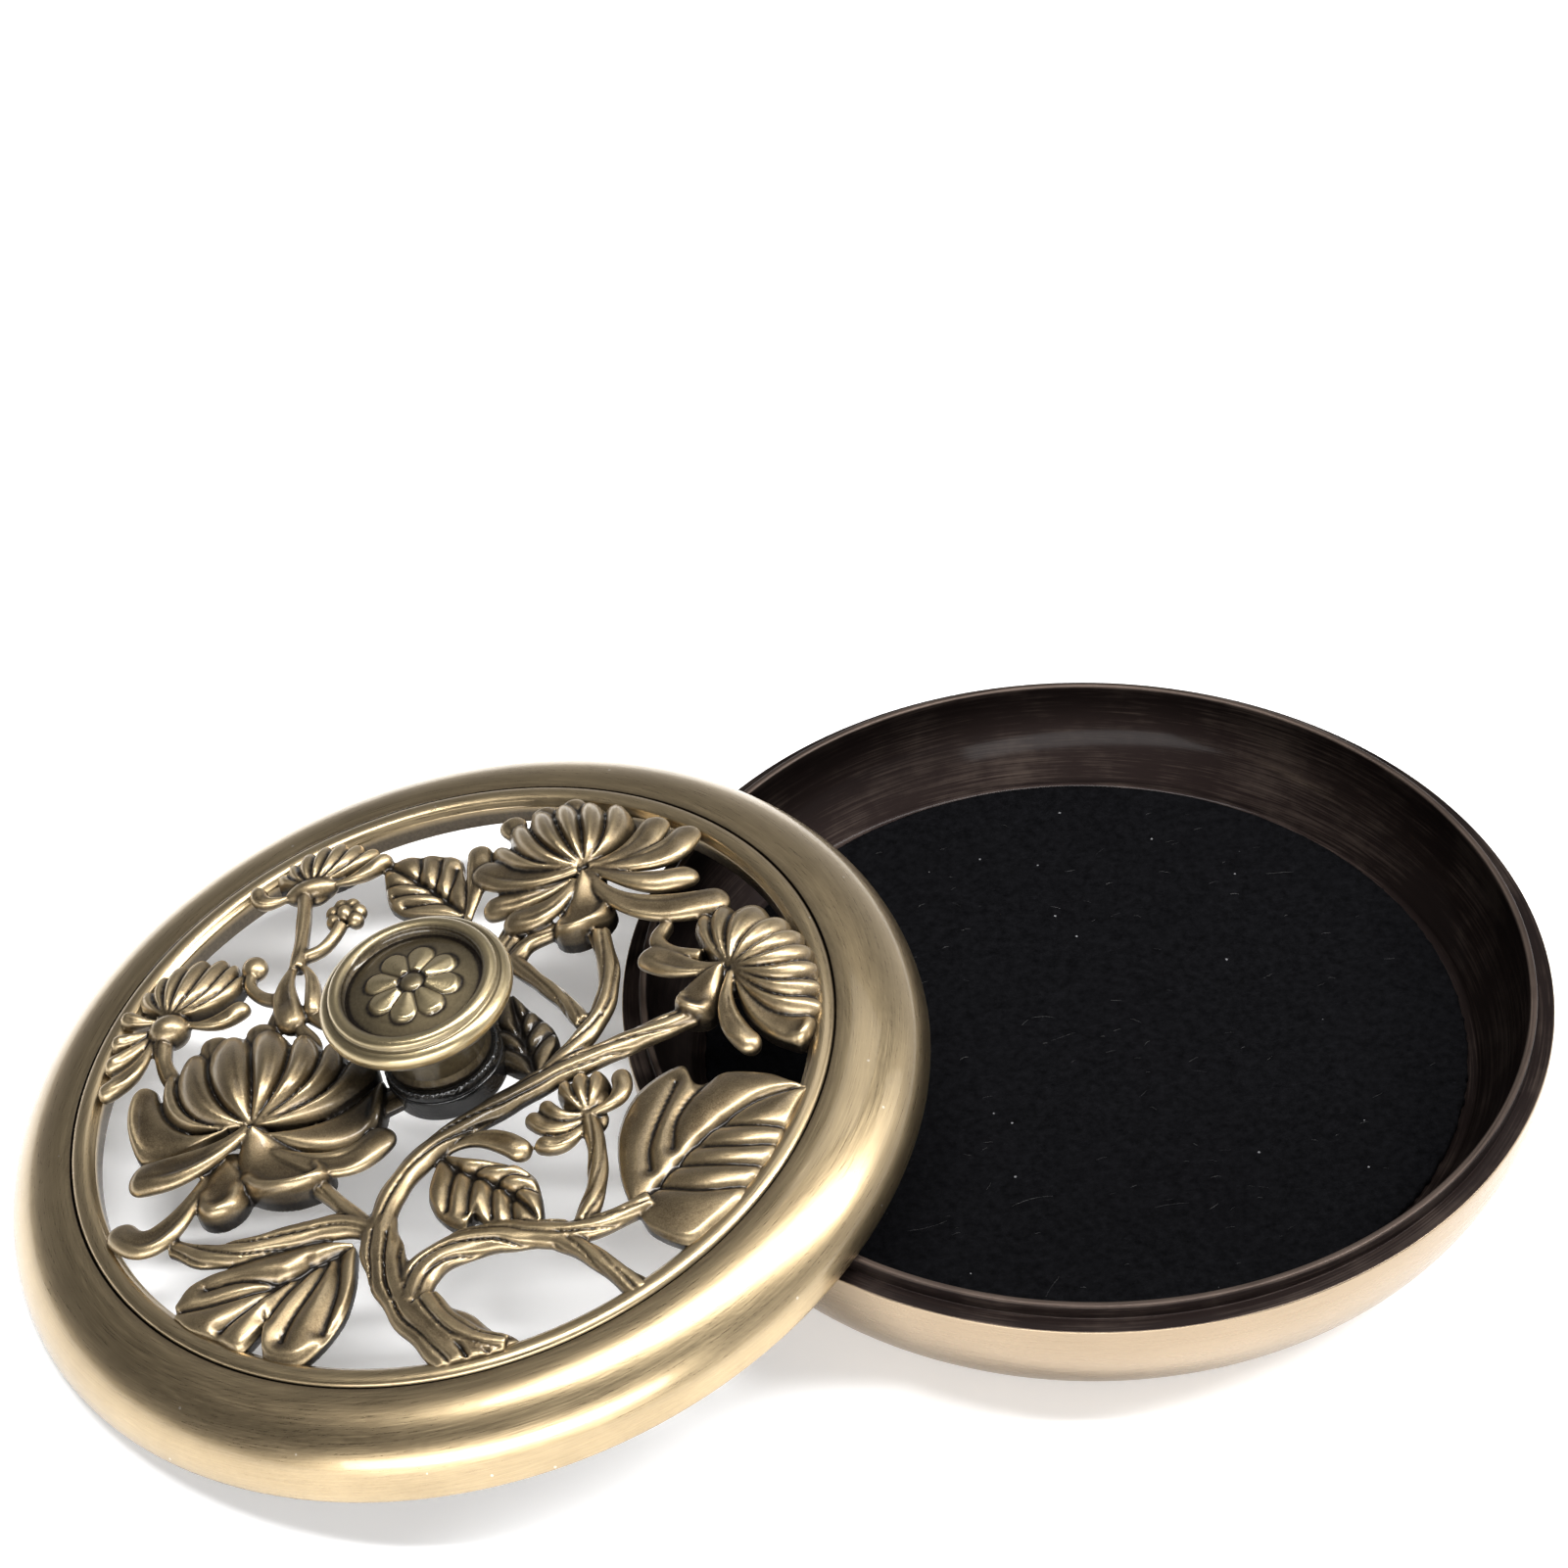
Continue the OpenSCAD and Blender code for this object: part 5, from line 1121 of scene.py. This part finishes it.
def buildKnob():
    k = knob
    lipZ = k["height"] - 2.5
    ringOut, ringZ = k["radius"] - 1.5, k["height"] - 0.8
    field, fieldZ = ringOut - 1.9, k["height"] - 1.6
    neck, cup = k["stem"] - 0.4, k["radius"] - 1.1 - k["stem"]
    quarter = [math.pi / 2 * i / 24 for i in range(25)]
    rough = [(0.0, 0.0), (k["stem"], 0.0), (k["stem"], 0.6), (neck, 1.2)] \
        + [(neck + cup * (1 - math.cos(a)), 1.4 + (lipZ - 2.2) * math.sin(a)) for a in quarter] \
        + arc(k["radius"] - k["lip"], lipZ, k["lip"], k["lip"], -40, 75, 18) \
        + [(ringOut + 0.1, lipZ + k["lip"] - 0.3), (ringOut, ringZ)] \
        + arc(ringOut - 0.95, ringZ, 0.95, 0.8, 20, 160, 14) + [(field, fieldZ)] \
        + [(field * (1 - i / 60), fieldZ + 1.1 * math.sin(math.pi / 2 * i / 60)) for i in range(1, 61)]
    points, faces, radius, height = lathe(finer(rough, 0.8, closed=False), k["segments"])
    onField = (radius < field - 0.1) & (height > k["height"] - 2)
    # a plain rosette of round petals about a button
    turn = np.arctan2(points[:, 1], points[:, 0]) / (2 * math.pi) * k["petals"]
    fold = np.abs((turn % 1) - 0.5) * 2
    edge = k["petalReach"] - k["petalNotch"] * fold ** 2.6
    petal = smoothStep(np.clip((edge - radius) / 0.5, 0, 1) * np.clip((radius - 1.6) / 0.5, 0, 1), 0, 1)
    between = bump1((1 - fold) * radius, 0, 0.55)
    button = np.sqrt(np.clip(1 - (radius / k["button"]) ** 2, 0, 1))
    rise = petal * (1 - 0.75 * between) * (0.75 + 0.25 * np.cos(fold * math.pi)) + button
    height += np.where(onField, k["relief"] * rise, 0)
    points[:, 2] = height + k["low"]
    hollow = 0.9 * bump1(radius, field, 0.55) * (height > k["height"] - 2.3)
    hollow += 0.75 * bump1(radius, ringOut + 0.25, 0.3) * (height > k["height"] - 2.2)
    beside = 1.1 * petal * between + 0.5 * bump1(radius, edge + 0.15, 0.35) + 0.9 * bump1(radius, 1.75, 0.3)
    ground = 0.55 * (1 - petal) + 0.25 * np.clip((radius - 6) / 3, 0, 1)
    hollow += np.where(onField, 0.85 * np.clip(beside, 0, 1) + ground, 0)
    # painted shade: darker towards the knob's foot and all under the lip
    hollow += 0.3 * np.clip((2.6 - height) / 2.6, 0, 1) + 0.68 * (height < lipZ - 0.5)
    crest = np.where(onField, 0.35 * petal * (1 - between), 0) \
        + 0.3 * bump1(radius, ringOut - 0.95, 0.5) * (height > k["height"] - 0.6)
    addPiece("knobCup", points, faces, "lid", "knob", knobBrass,
             {"hollow": np.clip(hollow, 0, 1), "crest": crest})


buildBead()
buildBoss()
buildCollar()
buildKnob()
for node in ("knob_screw", "screw_washer"):
    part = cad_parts[node]
    part.data.materials.clear()
    part.data.materials.append(platedSteel)
print("knob, collar and ring built")

# Softboxes: place in metres, the direction of their long side, size in metres, power in watts
studio = {"floorSize": 8.0, "floorTone": (0.9, 0.9, 0.905), "floorGlow": 0.24, "aim": (-0.06, -0.04, 0.02),
          "airRamp": ((0.0, 0.62), (0.6, 0.24)), "airLeft": 0.42, "airRight": 1.15,
          "boxes": {"topStrip": ((0.17, -0.12, 0.68), (1.15, -0.15, -0.48), (1.25, 0.12), 13.0),
                    "frontStrip": ((-0.3, -0.93, 0.3), (1, 0, 0.12), (1.3, 0.24), 10.5),
                    "rearBox": ((0.14, 0.34, 0.62), (1, -0.3, 0), (0.45, 0.25), 0.4),
                    "rightBox": ((0.75, 0.08, 0.42), (0, 1, 0), (0.4, 0.35), 0.6)}}


def addSoftbox(name, place, along, size, power):
    data = bpy.data.lights.new(name, "AREA")
    data.shape = "RECTANGLE"
    data.size, data.size_y = size
    data.energy = power
    box = bpy.data.objects.new(name, data)
    back = (Vector(place) - Vector(studio["aim"])).normalized()
    side = (Vector(along) - back * Vector(along).dot(back)).normalized()
    turned = Matrix((side, back.cross(side), back)).transposed().to_4x4()
    turned.translation = place
    box.matrix_world = turned
    bpy.context.scene.collection.objects.link(box)


def buildFloor():
    h = studio["floorSize"] / 2
    mesh = bpy.data.meshes.new("studioFloor")
    mesh.from_pydata([(-h, -h, 0), (h, -h, 0), (h, h, 0), (-h, h, 0)], [], [[0, 1, 2, 3]])
    ground = bpy.data.objects.new("studioFloor", mesh)
    ground.location.z = -0.0002
    bpy.context.scene.collection.objects.link(ground)
    material, tree, shader = newMaterial("paleFloor", Roughness=0.8, Specular_IOR_Level=0.1,
                                         Emission_Color=(1, 1, 1, 1), Emission_Strength=studio["floorGlow"])
    where = tree.nodes.new("ShaderNodeTexCoord").outputs["Object"]
    tone = addNoise(tree, where, 3.0, 2.0, 0.5)
    feed(tree, shader, Base_Color=addMix(tree, tone, studio["floorTone"], (0.93, 0.93, 0.93)))
    mesh.materials.append(material)


# air that is darker overhead and to the left
def buildAir():
    world = bpy.data.worlds.new("studioAir")
    bpy.context.scene.world = world
    world.use_nodes = True
    tree = world.node_tree
    split = tree.nodes.new("ShaderNodeSeparateXYZ")
    tree.links.new(tree.nodes.new("ShaderNodeTexCoord").outputs["Generated"], split.inputs[0])
    ramp = tree.nodes.new("ShaderNodeValToRGB")
    for spot, (position, tone) in zip(ramp.color_ramp.elements, studio["airRamp"]):
        spot.position = position
        spot.color = (tone, tone, tone * 1.02, 1)
    tree.links.new(split.outputs[2], ramp.inputs[0])
    side = addRange(tree, split.outputs[0], -0.9, 0.7, studio["airLeft"], studio["airRight"])
    glow = addMix(tree, 1.0, ramp.outputs[0], side, "MULTIPLY")
    feed(tree, tree.nodes["Background"], Color=glow, Strength=1.0)


# The photograph's view: angles in degrees, distances in metres from the tray's middle
camera = {"turn": -9.539, "height": 41.608, "roll": -2.597, "lens": 104.63, "sensor": 36.0,
          "right": -0.03753, "up": 0.04068, "back": 0.5969}


def buildCamera():
    turn, height, roll = (math.radians(camera[k]) for k in ("turn", "height", "roll"))
    back = Vector((math.sin(turn) * math.cos(height), -math.cos(turn) * math.cos(height), math.sin(height)))
    right = Vector((math.cos(turn), math.sin(turn), 0))
    up = back.cross(right)
    data = bpy.data.cameras.new("photoView")
    data.sensor_width = camera["sensor"]
    data.lens = camera["lens"]
    data.clip_start, data.clip_end = 0.01, 20
    view = bpy.data.objects.new("photoView", data)
    rolledRight = right * math.cos(roll) + up * math.sin(roll)
    rolledUp = up * math.cos(roll) - right * math.sin(roll)
    m = Matrix((rolledRight, rolledUp, back)).transposed().to_4x4()
    m.translation = right * camera["right"] + up * camera["up"] + back * camera["back"]
    view.matrix_world = m
    bpy.context.scene.collection.objects.link(view)
    bpy.context.scene.camera = view


buildFloor()
buildAir()
for name, box in studio["boxes"].items():
    addSoftbox(name, *box)
buildCamera()
bpy.context.scene.view_settings.view_transform = "Standard"
print("studio built")
